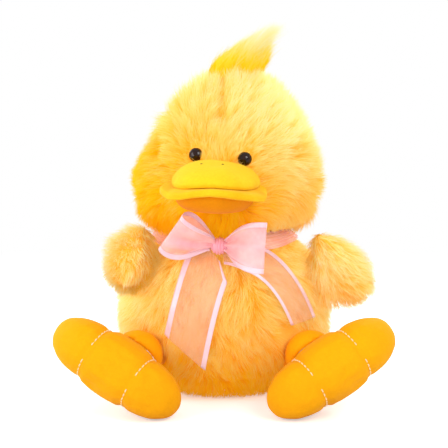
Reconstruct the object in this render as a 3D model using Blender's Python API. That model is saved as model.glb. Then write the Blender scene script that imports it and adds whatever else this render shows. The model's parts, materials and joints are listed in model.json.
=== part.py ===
"""Plush duck that sits by itself, with a ribbon bow round its neck.

Metres, +Z up. The duck faces -Y, so its own left side is +X. The origin is the middle of the flat
patch under the body. Furry pieces are modelled out to the tips of their pile. A stuffed piece is a
cover, open where it is sewn on, with its stuffing inside.
"""

import math

import bmesh
import bpy
import numpy as np
from mathutils import Matrix, Vector

# Clearances and layers
GAP = 0.0003
SWING_GAP = 0.0008
TURN_GAP = 0.0014
PILE_WALL = 0.010
FABRIC_WALL = 0.0016
OVERRUN = 0.004
FLOOR_CUT = 0.0005
REACH = 0.5

# Body, from the seat to the neck
BODY_WIDTH = 0.163
BODY_DEPTH = 0.142
BODY_HEIGHT = 0.140
BODY_FRONT_SHIFT = -0.002
BODY_HEIGHT_SHARES = (
    0, 0.001, 0.006, 0.033, 0.092, 0.187, 0.333, 0.48, 0.62, 0.71, 0.77, 0.81, 0.845, 0.885, 0.95, 1
)
BODY_RADIUS_SHARES = (
    0, 0.30, 0.55, 0.70, 0.83, 0.93, 0.99, 1, 0.95, 0.86, 0.76, 0.665, 0.615, 0.605, 0.45, 0
)
NECK_HEIGHT_SHARE = 0.882

# Pellet bag on the floor of the body cover
PELLET_BAG_WIDTH = 0.088
PELLET_BAG_DEPTH = 0.076
PELLET_BAG_HEIGHT = 0.026

# Head, from below the neck cut to the crown
HEAD_WIDTH = 0.1452
HEAD_DEPTH = 0.130
HEAD_HEIGHT = 0.138
HEAD_SUNK = 0.0155
HEAD_TILT = math.radians(3.3)
HEAD_TURN = math.radians(-7)
HEAD_HEIGHT_SHARES = (
    0, 0.02, 0.085, 0.155, 0.29, 0.373, 0.461, 0.549, 0.634, 0.7225, 0.81, 0.895, 0.94, 0.98, 1
)
HEAD_RADIUS_SHARES = (
    0, 0.42, 0.77, 0.915, 0.983, 1, 0.963, 0.887, 0.807, 0.713, 0.60, 0.45, 0.35, 0.2, 0
)
HEAD_LEAN = 0.0055
HEAD_LEAN_SHARES = (0, 0, 0, 0, 0, 0.05, 0.25, 0.6, 0.88, 1, 1, 1, 1, 1, 1)

# Crest tuft, which leans to the duck's left
CREST_WIDTH = 0.042
CREST_DEPTH = 0.022
CREST_HEIGHT = 0.040
CREST_LEAN = 0.033
CREST_HEIGHT_SHARES = (0, 0.1, 0.3, 0.5, 0.68, 0.84, 0.95, 1)
CREST_RADIUS_SHARES = (0, 0.92, 1, 0.86, 0.60, 0.32, 0.13, 0)
CREST_LEAN_SHARES = (0, 0.02, 0.14, 0.36, 0.62, 0.85, 0.97, 1)

# Bill, measured from the head's surface at the height of the brim
BILL_HEIGHT = 0.0415
BRIM_WIDTH = 0.077
BRIM_REACH = 0.054
BRIM_THICKNESS = 0.0065
BRIM_DROOP = 0.0045
BRIM_WAVE = 0.0007
BRIM_WAVES = 5
DOME_WIDTH = 0.0635
DOME_REACH = 0.046
DOME_HEIGHT = 0.0140
LOWER_BILL_WIDTH = 0.055
LOWER_BILL_REACH = 0.042
LOWER_BILL_HEIGHT = 0.0140
BILL_FULLNESS = 2.3
PAD_RADIUS_SHARES = (0, 0.55, 0.80, 0.93, 0.99, 1)
PAD_HEIGHT_SHARES = (1, 0.90, 0.68, 0.42, 0.16, 0)
FLAT_SHARE = 0.6

# Eyes: a dome on a ribbed shank, held by a washer behind the head cover
EYE_WIDTH = 0.0105
EYE_DOME = 0.0050
EYE_SPREAD = 0.0193
EYE_HEIGHT = 0.0606
EYE_SUNK = 0.0052
EYE_HOLLOW_WIDTH = 0.0190
HOLLOW_RISE_SHARE = 0.9
EYE_LIFT = math.radians(14)
SHANK_WIDTH = 0.0034
SHANK_LENGTH = 0.0125
RIB_HEIGHT = 0.0004
RIB_COUNT = 4
WASHER_WIDTH = 0.0120
WASHER_THICKNESS = 0.0012
WASHER_CONE = 0.0010

# Wings, which swing about a slanted line at the body's side
WING_HEIGHT = {"left": 0.089, "right": 0.101}
WING_TURN = math.radians(70)
WING_STANDOFF = 0.0047
WING_LEAN = math.radians(14)
WING_RAKE = math.radians(18)
WING_REACH = 0.0385
WING_HALF_TALL = 0.0278
WING_HALF_THICK = 0.0185
WING_ROOT_RADIUS = 0.0105
WING_ROOT_HALF_TALL = 0.0230
WING_DROOP = 0.0080
WING_YAW = {"left": math.radians(8), "right": math.radians(92)}
WING_ALONG_SHARES = (0.24, 0.46, 0.66, 0.82, 0.94, 1)
WING_TALL_SHARES = (0.93, 1, 0.93, 0.72, 0.42, 0)
WING_THICK_SHARES = (0.86, 1, 0.96, 0.77, 0.46, 0)
WING_DROOP_SHARES = (0.15, 0.4, 0.7, 0.9, 1, 1)
ROOT_SHARES = (-1, -0.92, -0.62, 0)
WING_HOLLOW_ALONG_SHARES = (0.18, 0.58, 0.88, 1)
WING_HOLLOW_TALL_SHARES = (0, 0.5, 0.5, 0.8, 1, 0.62, 0)
WING_HOLLOW_THICK_SHARES = (0, 0.25, 0.25, 0.5, 1, 0.7, 0)
WING_HOLLOW_DROOP_SHARES = (0, 0, 0, 0, 0.4, 0.8, 1)

# Legs, short stubs between the hip and the foot
HIP_HEIGHT = 0.036
HIP_TURN = math.radians(46)
HIP_STANDOFF = 0.011
LEG_RADIUS = 0.0190
LEG_TAPER_SHARE = 0.86

# Feet: three-toed pads whose wide side faces forward
FOOT_WIDTH = 0.107
FOOT_THICKNESS = 0.045
FOOT_TOE_REACH = 0.033
FOOT_HEEL_REACH = 0.027
FOOT_ACROSS_SHARES = (0, 0.14, 0.27, 0.36, 0.45, 0.60, 0.76, 0.89, 0.97, 1)
FOOT_HOLLOW_SHARES = (0, 0.30, 0.60, 0.85, 1)
FOOT_TOE_POWERS = (2.6, 1 / 2.2)
FOOT_HEEL_POWER = 1.7
FOOT_SECTION_POWER = 2.2
FOOT_CHANNEL_SHARE = 0.09
FOOT_CHANNEL_WIDTH_SHARE = 0.07
FOOT_CHANNEL_PLACE_SHARES = (-0.36, 0.36)
FOOT_INWARD = 0.0045
FOOT_YAW = math.radians(20)
FOOT_ROLL = math.radians(29)
FOOT_PITCH = math.radians(20)
ANKLE_REACH = 0.0250

# Tail, short and turned up
TAIL_WIDTH = 0.046
TAIL_THICKNESS = 0.030
TAIL_LENGTH = 0.052
TAIL_ROOT = 0.014
TAIL_HEIGHT = 0.040
TAIL_RISE = math.radians(32)
TAIL_ALONG_SHARES = (0, 0.06, 0.25, 0.5, 0.72, 0.9, 1)
TAIL_WIDE_SHARES = (0, 0.62, 0.92, 1, 0.80, 0.42, 0)
TAIL_THICK_SHARES = (0, 0.70, 1, 0.90, 0.66, 0.36, 0)
TAIL_HOLLOW_ALONG_SHARES = (0.38, 0.58, 1)
TAIL_HOLLOW_SHARES = (0, 0.62, 1, 0.9, 0)

# Ribbon, one length tied in a bow
RIBBON_WIDTH = 0.037
RIBBON_THICKNESS = 0.0008
NECK_RIBBON_HEIGHT = 0.0085
NECK_RIBBON_THICKNESS = 0.0016
NECK_RIBBON_DROP = 0.0050
KNOT_WIDTH = 0.0120
KNOT_DEPTH = 0.0110
KNOT_HEIGHT = 0.0140
KNOT_SIDE = -0.0036
KNOT_FULL_SHARE = 0.7
LOOP_LENGTH = 0.0350
LOOP_OPENING = 0.0140
LOOP_RIPPLE = 0.0011
LOOP_RIPPLES = 1.25
LOOP_SWELL_SHARE = 0.83
GATHER_SHARE = 0.30
LOOP_YAW = {"left": math.radians(37), "right": math.radians(26)}
LOOP_LIFT = {"left": math.radians(4), "right": math.radians(18)}
LOOP_ROLL = {"left": math.radians(-12), "right": math.radians(38)}
RIBBON_TAIL_VIA_SIDE = {"left": 0.0400, "right": -0.0110}
RIBBON_TAIL_VIA_RISE = {"left": 0.0040, "right": -0.0110}
RIBBON_TAIL_END_SIDE = {"left": 0.0590, "right": -0.0220}
RIBBON_TAIL_END_DROP = {"left": 0.0500, "right": 0.0700}
RIBBON_TAIL_WIDTH_SHARE = {"left": 0.50, "right": 0.92}
RIBBON_TAIL_SLANT = {"left": 0.0020, "right": 0.0100}
RIBBON_TAIL_WAVE = 0.0012
RIBBON_TAIL_WAVES = 1.5
FANNED_SHARE = {"left": 0.25, "right": 0.24}
DRAPED_SHARE = 0.20
DRAPE_GAP = 0.0009

# Colours
PLUSH_YELLOW = (0.93, 0.66, 0.19)
CREST_YELLOW = (0.93, 0.86, 0.36)
BILL_YELLOW = (0.98, 0.66, 0.03)
BILL_ORANGE = (0.86, 0.36, 0.01)
FOOT_YELLOW = (0.95, 0.50, 0.01)
STUFFING_WHITE = (0.90, 0.90, 0.88)
PELLET_GREY = (0.55, 0.57, 0.60)
EYE_BROWN = (0.015, 0.008, 0.005)
WASHER_WHITE = (0.80, 0.80, 0.78)
RIBBON_PINK = (0.93, 0.50, 0.52)

SIDES = {"left": 1, "right": -1}
UP = Vector((0, 0, 1))


def material(name, colour, roughness, metallic=0.0):
    made = bpy.data.materials.new(name)
    made.use_nodes = True
    shader = made.node_tree.nodes["Principled BSDF"]
    shader.inputs["Base Color"].default_value = (*colour, 1)
    shader.inputs["Roughness"].default_value = roughness
    shader.inputs["Metallic"].default_value = metallic
    made.diffuse_color = (*colour, 1)
    return made


def smooth_through(values, places):
    """A smooth curve through values, read at places counted in stations."""
    values = np.asarray(values, float)
    slopes = np.gradient(values)
    before = np.minimum(np.floor(places).astype(int), len(values) - 2)
    t = places - before
    start, end = values[before], values[before + 1]
    return (
        start * (2 * t**3 - 3 * t**2 + 1)
        + slopes[before] * (t**3 - 2 * t**2 + t)
        + end * (3 * t**2 - 2 * t**3)
        + slopes[before + 1] * (t**3 - t**2)
    )


class Form:
    """Rounded rings stacked along local Z, with half sizes along X and Y, from pole to pole."""

    def __init__(self, along, half_x, half_y, shift_x=None, shift_y=None, power=2.0):
        zeros = np.zeros(len(along))
        self.columns = [
            np.asarray(zeros if c is None else c, float)
            for c in (along, half_x, half_y, shift_x, shift_y)
        ]
        self.power = power

    def rings(self, count):
        places = np.linspace(0, len(self.columns[0]) - 1, count)
        return [smooth_through(c, places) for c in self.columns]

    def sizes_at(self, height):
        """Half sizes and shifts of the ring at this height."""
        along, *rest = self.rings(20 * len(self.columns[0]))
        return [float(np.interp(height, along, values)) for values in rest]

    def side(self, turn, height):
        """The surface point at this height, turned from -Y towards +X, and its level outward normal."""
        half_x, half_y, shift_x, shift_y = self.sizes_at(height)
        point = Vector((shift_x + half_x * math.sin(turn), shift_y - half_y * math.cos(turn), height))
        outward = Vector((math.sin(turn) / half_x, -math.cos(turn) / half_y, 0)).normalized()
        return point, outward

    def front(self, x, height):
        """How far back the front surface lies at this place."""
        half_x, half_y, shift_x, shift_y = self.sizes_at(height)
        share = min(abs(x - shift_x) / half_x, 0.999)
        return shift_y - half_y * (1 - share**self.power) ** (1 / self.power)

    def mesh(self, name, ring_count, segments, bend=None):
        """A closed mesh of the form, with each point passed through bend if there is one."""
        columns = self.columns if ring_count is None else self.rings(ring_count)
        points = bmesh.new()
        loops = []
        for along, half_x, half_y, shift_x, shift_y in zip(*columns):
            pole = half_x <= 0 or half_y <= 0
            loop = []
            for step in range(1 if pole else segments):
                angle = 2 * math.pi * step / segments
                wide = math.copysign(abs(math.cos(angle)) ** (2 / self.power), math.cos(angle))
                deep = math.copysign(abs(math.sin(angle)) ** (2 / self.power), math.sin(angle))
                x = shift_x + (0 if pole else half_x * wide)
                y = shift_y + (0 if pole else half_y * deep)
                place = Vector((x, y, along))
                loop.append(points.verts.new(bend(place) if bend else place))
            loops.append(loop)
        for lower, upper in zip(loops, loops[1:]):
            for step in range(segments):
                corners = [
                    lower[step % len(lower)],
                    lower[(step + 1) % len(lower)],
                    upper[(step + 1) % len(upper)],
                    upper[step % len(upper)],
                ]
                points.faces.new(list(dict.fromkeys(corners)))
        return finished_mesh(points, name)


def finished_mesh(points, name):
    bmesh.ops.recalc_face_normals(points, faces=points.faces)
    bmesh.ops.triangulate(points, faces=points.faces)
    mesh = bpy.data.meshes.new(name)
    points.to_mesh(mesh)
    points.free()
    mesh.shade_smooth()
    return mesh


def ball_form(half_tall, half_wide, half_deep, rings, full_share=1, power=2.0):
    """A round form about its own middle, blunter at its ends for a smaller full_share."""
    turns = np.linspace(-math.pi / 2, math.pi / 2, rings)
    share = np.cos(turns)
    share[[0, -1]] = 0
    share = share**full_share
    return Form(half_tall * np.sin(turns), half_wide * share, half_deep * share, None, None, power)


def add_object(name, mesh, finish=None, placed=None, parent=None):
    """A part of the toy, or a hidden guide when it has no finish."""
    made = bpy.data.objects.new(name, mesh)
    bpy.context.scene.collection.objects.link(made)
    made.parent = parent
    made.matrix_basis = placed or Matrix()
    if finish is None:
        made.hide_render = True
        made.display_type = "WIRE"
    else:
        made.data.materials.clear()
        made.data.materials.append(finish)
    return made


def guide_of(source, name):
    """A hidden object with the same mesh, place and swelling."""
    made = add_object(name, source.data, None, source.matrix_basis.copy(), source.parent)
    for modifier in source.modifiers:
        if modifier.type == "DISPLACE":
            swell(made, modifier.strength)
    return made


def swell(made, distance):
    """Moves an object's surface out by distance, or in when it is negative."""
    modifier = made.modifiers.new("swell", "DISPLACE")
    modifier.strength = distance
    modifier.mid_level = 0
    return made


def grown(source, distance):
    return swell(guide_of(source, source.name + "_grown"), distance)


def combine(made, other, operation):
    modifier = made.modifiers.new(operation.lower(), "BOOLEAN")
    modifier.object = other
    modifier.operation = operation
    modifier.solver = "EXACT"


def cut(made, *cutters):
    for cutter in cutters:
        combine(made, cutter, "DIFFERENCE")


def block(name, low, high, parent=None):
    """A hidden box between two corners."""
    points = bmesh.new()
    bmesh.ops.create_cube(points, size=1)
    middle = [(a + b) / 2 for a, b in zip(low, high)]
    sides = [b - a for a, b in zip(low, high)]
    for vert in points.verts:
        vert.co = Vector([m + s * c for m, s, c in zip(middle, sides, vert.co)])
    return add_object(name, finished_mesh(points, name), None, None, parent)


def stuffed(name, shell, cavity, colours, placed=None, parent=None, inner=None, joined=None):
    """A cover, cut by its open cavity, and the stuffing that fills the cavity inside the shell.

    Colours are the cover's and the stuffing's. The cavity stands at inner where its place isn't the
    cover's, and joined is a guide that the shell is joined with.
    """
    outside = add_object(name + "_outside", shell.copy(), None, placed, parent)
    cover = add_object(name + "_cover", shell, colours[0], placed, parent)
    if joined:
        combine(outside, joined, "UNION")
        combine(cover, joined, "UNION")
    cut(cover, add_object(name + "_cavity", cavity, None, inner or placed, parent))
    stuffing = add_object(name + "_stuffing", cavity.copy(), colours[1], inner or placed, parent)
    swell(stuffing, -GAP)
    combine(stuffing, outside, "INTERSECT")
    return cover, stuffing


def pivot(name, place, parent=None):
    made = bpy.data.objects.new(name, None)
    bpy.context.scene.collection.objects.link(made)
    made.parent = parent
    made.location = place
    bpy.context.view_layer.update()
    return made


def frame_of(x_axis, z_axis, place):
    """A placing matrix from its X and Z directions."""
    z_axis = z_axis.normalized()
    y_axis = z_axis.cross(x_axis).normalized()
    x_axis = y_axis.cross(z_axis)
    turned = Matrix((x_axis, y_axis, z_axis)).transposed().to_4x4()
    return Matrix.Translation(place) @ turned


def raised(distance):
    return Matrix.Translation((0, 0, distance))


def body_form():
    half_x = BODY_WIDTH / 2 * np.array(BODY_RADIUS_SHARES)
    half_y = BODY_DEPTH / 2 * np.array(BODY_RADIUS_SHARES)
    along = BODY_HEIGHT * np.array(BODY_HEIGHT_SHARES) - FLOOR_CUT
    return Form(along, half_x, half_y, None, np.full(len(along), BODY_FRONT_SHIFT))


def head_form():
    half_x = HEAD_WIDTH / 2 * np.array(HEAD_RADIUS_SHARES)
    half_y = HEAD_DEPTH / 2 * np.array(HEAD_RADIUS_SHARES)
    along = HEAD_HEIGHT * np.array(HEAD_HEIGHT_SHARES) - HEAD_SUNK
    return Form(along, half_x, half_y, HEAD_LEAN * np.array(HEAD_LEAN_SHARES))


BODY = body_form()
HEAD = head_form()
NECK_HEIGHT = BODY_HEIGHT * NECK_HEIGHT_SHARE


def shrunk_mesh(form, name, ring_count, segments, wall):
    """The form's mesh, moved in by the wall."""
    mesh = form.mesh(name, ring_count, segments)
    points = bmesh.new()
    points.from_mesh(mesh)
    points.normal_update()
    moved = [(v, v.co - wall * v.normal) for v in points.verts]
    for vert, place in moved:
        vert.co = place
    return finished_mesh(points, name)


def build_body(finishes, floor, above_neck):
    """Body cover and stuffing, open to the head at the neck, and the pellet bag on the cover's floor."""
    cover, stuffing = stuffed(
        "body",
        BODY.mesh("body", 20, 26),
        shrunk_mesh(BODY, "body_cavity", 11, 14, PILE_WALL),
        finishes["plush"],
    )
    cut(cover, floor, above_neck)
    rise = PELLET_BAG_HEIGHT / 2
    shape = ball_form(rise, PELLET_BAG_WIDTH / 2, PELLET_BAG_DEPTH / 2, 9).mesh("pellet_bag", None, 18)
    resting = Matrix.Translation((0, BODY_FRONT_SHIFT, PILE_WALL + rise / 2))
    pellet_bag = add_object("pellet_bag", shape, finishes["pellets"], resting)
    space = guide_of(bpy.data.objects["body_cavity"], "body_space")
    combine(pellet_bag, swell(space, -GAP), "INTERSECT")
    room = add_object("pellet_room", shape.copy(), None, resting)
    cut(stuffing, above_neck, swell(room, GAP))
    return cover


def build_head(finishes, below_neck, neck_pivot):
    """Head cover and stuffing, tilted and turned on the neck."""
    pose = Matrix.Rotation(HEAD_TURN, 4, "Z") @ Matrix.Rotation(HEAD_TILT, 4, "Y")
    cover, stuffing = stuffed(
        "head",
        HEAD.mesh("head", 18, 26),
        shrunk_mesh(HEAD, "head_cavity", 10, 14, PILE_WALL),
        finishes["plush"],
        pose,
        neck_pivot,
    )
    cut(cover, below_neck)
    cut(stuffing, below_neck)
    return cover, stuffing, pose


def build_crest(finishes, head_skin, pose, neck_pivot):
    """The tuft on the crown, a flame that leans to the duck's left."""
    radius = np.array(CREST_RADIUS_SHARES)
    form = Form(
        CREST_HEIGHT * np.array(CREST_HEIGHT_SHARES),
        CREST_WIDTH / 2 * radius,
        CREST_DEPTH / 2 * radius,
        CREST_LEAN * np.array(CREST_LEAN_SHARES),
    )
    place = Matrix.Translation(pose @ Vector((0, 0, HEAD_HEIGHT - HEAD_SUNK - CREST_HEIGHT / 4)))
    tuft = add_object("crest_tuft", form.mesh("crest_tuft", 11, 14), finishes["crest"], place, neck_pivot)
    cut(tuft, head_skin)


def droop(place):
    """Bends a flat shape as the bill is bent: down at its sides and waved towards its front."""
    side = place.x / (BRIM_WIDTH / 2)
    wave = BRIM_WAVE * math.sin(BRIM_WAVES * side * math.pi / 2) * max(-place.y / BRIM_REACH, 0)
    return place + UP * (wave - BRIM_DROOP * side * side)


def pad_mesh(name, width, reach, height, sunk, segments, turned_over=False):
    """A pad domed to its height, with a flat face sunk below local Z 0, or the same turned over."""
    radius = np.array(PAD_RADIUS_SHARES)[::-1]
    along = np.concatenate([[-sunk, -sunk], height * np.array(PAD_HEIGHT_SHARES)[::-1]])
    share = np.concatenate([[0, FLAT_SHARE], radius])
    if turned_over:
        along, share = -along[::-1], share[::-1]
    form = Form(along, width / 2 * share, reach * share, None, None, BILL_FULLNESS)
    return form.mesh(name, None, segments, droop)


def brim_mesh():
    """The flat pad under the dome, with a rounded rim."""
    rim = BRIM_THICKNESS / 2
    turns = np.linspace(-math.pi / 2, math.pi / 2, 7)
    along = np.concatenate([[-rim, -rim], rim * np.sin(turns), [rim, rim]])
    inward = np.concatenate([[0, 0], rim * (1 - np.cos(turns)), [0, 0]])
    spread = np.concatenate([[0, FLAT_SHARE], np.ones(len(turns)), [FLAT_SHARE, 0]])
    half_x = (BRIM_WIDTH / 2 - inward) * spread
    half_y = (BRIM_REACH - inward) * spread
    return Form(along, half_x, half_y, None, None, BILL_FULLNESS).mesh("brim", None, 32, droop)


def build_bill(finishes, head_skin, pose, neck_pivot):
    """Upper bill, a stuffed dome on a flared brim, and the lower bill under it."""
    seat = pose @ Matrix.Translation((0, HEAD.front(0, BILL_HEIGHT), BILL_HEIGHT))
    lift = BRIM_THICKNESS / 2
    inset = 2 * FABRIC_WALL
    dome = pad_mesh("dome", DOME_WIDTH, DOME_REACH, DOME_HEIGHT, FABRIC_WALL, 24)
    dome_reach = DOME_REACH - FABRIC_WALL
    hollow = pad_mesh("dome_hollow", DOME_WIDTH - inset, dome_reach, DOME_HEIGHT - inset, 0, 14)
    upper = stuffed(
        "upper_bill",
        brim_mesh(),
        hollow,
        finishes["bill"],
        seat,
        neck_pivot,
        seat @ raised(lift + FABRIC_WALL),
        add_object("dome", dome, None, seat @ raised(lift), neck_pivot),
    )
    jaw = pad_mesh("jaw", LOWER_BILL_WIDTH, LOWER_BILL_REACH, LOWER_BILL_HEIGHT, 0, 22, True)
    jaw_width = LOWER_BILL_WIDTH - inset
    jaw_reach = LOWER_BILL_REACH - FABRIC_WALL
    under_brim = seat @ raised(-lift)
    lower = stuffed(
        "lower_bill",
        jaw,
        pad_mesh("jaw_hollow", jaw_width, jaw_reach, LOWER_BILL_HEIGHT - inset, 0, 14, True),
        finishes["jaw"],
        under_brim,
        neck_pivot,
        under_brim @ raised(-FABRIC_WALL),
    )
    brim_skin = grown(bpy.data.objects["upper_bill_outside"], GAP)
    for made in upper + lower:
        cut(made, head_skin)
    for made in lower:
        cut(made, brim_skin)


def turned_mesh(name, profile, segments):
    """A closed solid turned about local Z from (radius, height) points."""
    points = bmesh.new()
    verts = [points.verts.new((radius, 0, height)) for radius, height in profile]
    edges = [points.edges.new(pair) for pair in zip(verts, verts[1:])]
    if profile[0][0] > 0:
        edges.append(points.edges.new((verts[-1], verts[0])))
    bmesh.ops.spin(
        points, geom=verts + edges, cent=(0, 0, 0), axis=(0, 0, 1), angle=2 * math.pi, steps=segments
    )
    bmesh.ops.remove_doubles(points, verts=points.verts, dist=GAP / 100)
    return finished_mesh(points, name)


def eye_profile():
    """Half section of an eye: dome, flat back and a shank with sawtooth ribs, from the front pole down."""
    half = EYE_WIDTH / 2
    shank = SHANK_WIDTH / 2
    turns = np.linspace(0, math.pi / 2, 6)
    section = [(half * math.sin(t), EYE_DOME * math.cos(t)) for t in turns]
    pitch = SHANK_LENGTH / (RIB_COUNT + 1)
    section.append((shank, 0))
    for rib in range(1, RIB_COUNT + 1):
        section.append((shank, -pitch * rib))
        section.append((shank + RIB_HEIGHT, -pitch * rib))
    section.append((shank - RIB_HEIGHT, -SHANK_LENGTH))
    section.append((0, -SHANK_LENGTH))
    return section


def washer_profile():
    """Half section of a washer that cones away from the cover, in by its bore and out by its rim."""
    bore = SHANK_WIDTH / 2 + RIB_HEIGHT + GAP
    rim = WASHER_WIDTH / 2
    return [
        (bore, -WASHER_CONE),
        (rim, 0),
        (rim, -WASHER_THICKNESS),
        (bore, -WASHER_CONE - WASHER_THICKNESS),
    ]


def build_eye(side, finishes, cover, stuffing, pose, neck_pivot):
    """One eye in its hollow of parted pile, through the cover, with its washer behind."""
    across = SIDES[side] * EYE_SPREAD
    half_x, half_y, _, _ = HEAD.sizes_at(EYE_HEIGHT)
    place = Vector((across, HEAD.front(across, EYE_HEIGHT), EYE_HEIGHT))
    outward = Vector((across / half_x**2, place.y / half_y**2, 0)).normalized()
    outward = outward * math.cos(EYE_LIFT) + UP * math.sin(EYE_LIFT)
    seat = pose @ frame_of(Vector((1, 0, 0)), outward, place - outward * EYE_SUNK)
    eye = turned_mesh("eye", eye_profile(), 14)
    add_object("eye_" + side, eye, finishes["eye"], seat @ raised(GAP), neck_pivot)
    behind = EYE_SUNK - PILE_WALL - WASHER_CONE - 2 * GAP
    washer = turned_mesh("eye_washer", washer_profile(), 14)
    add_object("eye_washer_" + side, washer, finishes["washer"], seat @ raised(behind), neck_pivot)

    ball = EYE_HOLLOW_WIDTH / 2
    well = EYE_WIDTH / 2 + GAP
    bore = SHANK_WIDTH / 2 + RIB_HEIGHT + GAP
    pocket = WASHER_WIDTH / 2 + GAP
    washer_back = behind - WASHER_CONE - WASHER_THICKNESS - GAP
    end = -SHANK_LENGTH - GAP
    behind_cover = [(pocket, washer_back), (bore, washer_back), (bore, end), (0, end)]
    rise = ball * HOLLOW_RISE_SHARE
    turns = np.linspace(0, math.pi - math.asin(well / ball), 8)
    space = [(ball * math.sin(turn), rise + ball * math.cos(turn)) for turn in turns]
    space += [(well, -GAP), (bore, -GAP), (bore, behind + GAP), (pocket, behind + GAP)] + behind_cover
    inner_space = [(0, behind + PILE_WALL / 2), (pocket, behind + PILE_WALL / 2)] + behind_cover
    for made, section in ((cover, space), (stuffing, inner_space)):
        cutter = turned_mesh("eye_space", section, 14)
        cut(made, add_object(f"{made.name}_eye_{side}", cutter, None, seat, neck_pivot))


def wing_form():
    """A flipper: round about the hinge line at its root, swelling, then tapering to a rounded tip."""
    root = np.array(ROOT_SHARES)
    root_round = np.sqrt(1 - root**2)
    along = np.concatenate([WING_ROOT_RADIUS * root, WING_REACH * np.array(WING_ALONG_SHARES)])
    tall = np.concatenate([WING_ROOT_HALF_TALL * root_round, WING_HALF_TALL * np.array(WING_TALL_SHARES)])
    thick = np.concatenate([WING_ROOT_RADIUS * root_round, WING_HALF_THICK * np.array(WING_THICK_SHARES)])
    droop = np.concatenate([0 * root, -WING_DROOP * np.array(WING_DROOP_SHARES)])
    return Form(along, tall, thick, droop)


def wing_cavity_form():
    """The wing's hollow, with a throat out through the root."""
    throat = WING_ROOT_RADIUS + OVERRUN
    along = (WING_REACH - PILE_WALL) * np.array(WING_HOLLOW_ALONG_SHARES)
    return Form(
        np.concatenate([[-throat, -throat, 0], along]),
        (WING_HALF_TALL - PILE_WALL) * np.array(WING_HOLLOW_TALL_SHARES),
        (WING_HALF_THICK - PILE_WALL) * np.array(WING_HOLLOW_THICK_SHARES),
        -WING_DROOP * np.array(WING_HOLLOW_DROOP_SHARES),
    )


def build_wing(side, finishes, body_cover):
    """One wing on its slanted hinge line, and the nest in the body's pile that it sits in."""
    sign = SIDES[side]
    point, outward = BODY.side(sign * WING_TURN, WING_HEIGHT[side])
    leaning = Vector((-sign * math.sin(WING_LEAN), math.sin(WING_RAKE), math.cos(WING_LEAN)))
    hinge = leaning.normalized()
    holder = pivot(f"wing_{side}_pivot", point + outward * WING_STANDOFF)
    sideways = Vector((sign, 0, 0))
    level = (sideways - hinge * sideways.dot(hinge)).normalized()
    swung = Matrix.Rotation(-sign * WING_YAW[side], 3, hinge) @ level
    stuffed(
        "wing_" + side,
        wing_form().mesh("wing", 13, 16),
        wing_cavity_form().mesh("wing_cavity", None, 10),
        finishes["plush"],
        frame_of(hinge, swung, Vector()),
        holder,
    )
    radius = WING_ROOT_RADIUS + SWING_GAP
    groove = ball_form(WING_ROOT_HALF_TALL + SWING_GAP, radius, radius, 9).mesh("groove", None, 14)
    along_hinge = frame_of(level, hinge, Vector())
    nest = grown(bpy.data.objects[f"wing_{side}_outside"], SWING_GAP)
    cut(body_cover, add_object("groove_" + side, groove, None, along_hinge, holder), nest)


def foot_form(width, toe, heel, thickness, half_shares):
    """A webbed foot along local Z, toes at +X: a fan with two stitched channels between three toes."""
    half = np.array(half_shares)
    share = np.concatenate([-half[:0:-1], half])
    inside = (1 - np.abs(share) ** FOOT_TOE_POWERS[0]) ** FOOT_TOE_POWERS[1]
    valley = np.zeros(len(share))
    for place in FOOT_CHANNEL_PLACE_SHARES:
        valley += FOOT_CHANNEL_SHARE * np.exp(-(((share - place) / FOOT_CHANNEL_WIDTH_SHARE) ** 2))
    front = toe * inside * (1 - valley / 2)
    back = -heel * (1 - np.abs(share) ** FOOT_HEEL_POWER)
    thick = thickness / 2 * inside * (1 - valley)
    middle = (front + back) / 2
    return Form(width / 2 * share, (front - back) / 2, thick, middle, None, FOOT_SECTION_POWER)


def leg_form(radius, length, end_radius, overrun):
    """A stub with a ball end at its joint, which tapers to the foot."""
    turns = np.linspace(-math.pi / 2, 0, 6)[1:]
    along = np.concatenate([[-radius], radius * np.sin(turns), [length / 2, length, length + overrun]])
    half = np.concatenate([[0], radius * np.cos(turns), [end_radius, end_radius, 0]])
    return Form(along, half, half)


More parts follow.
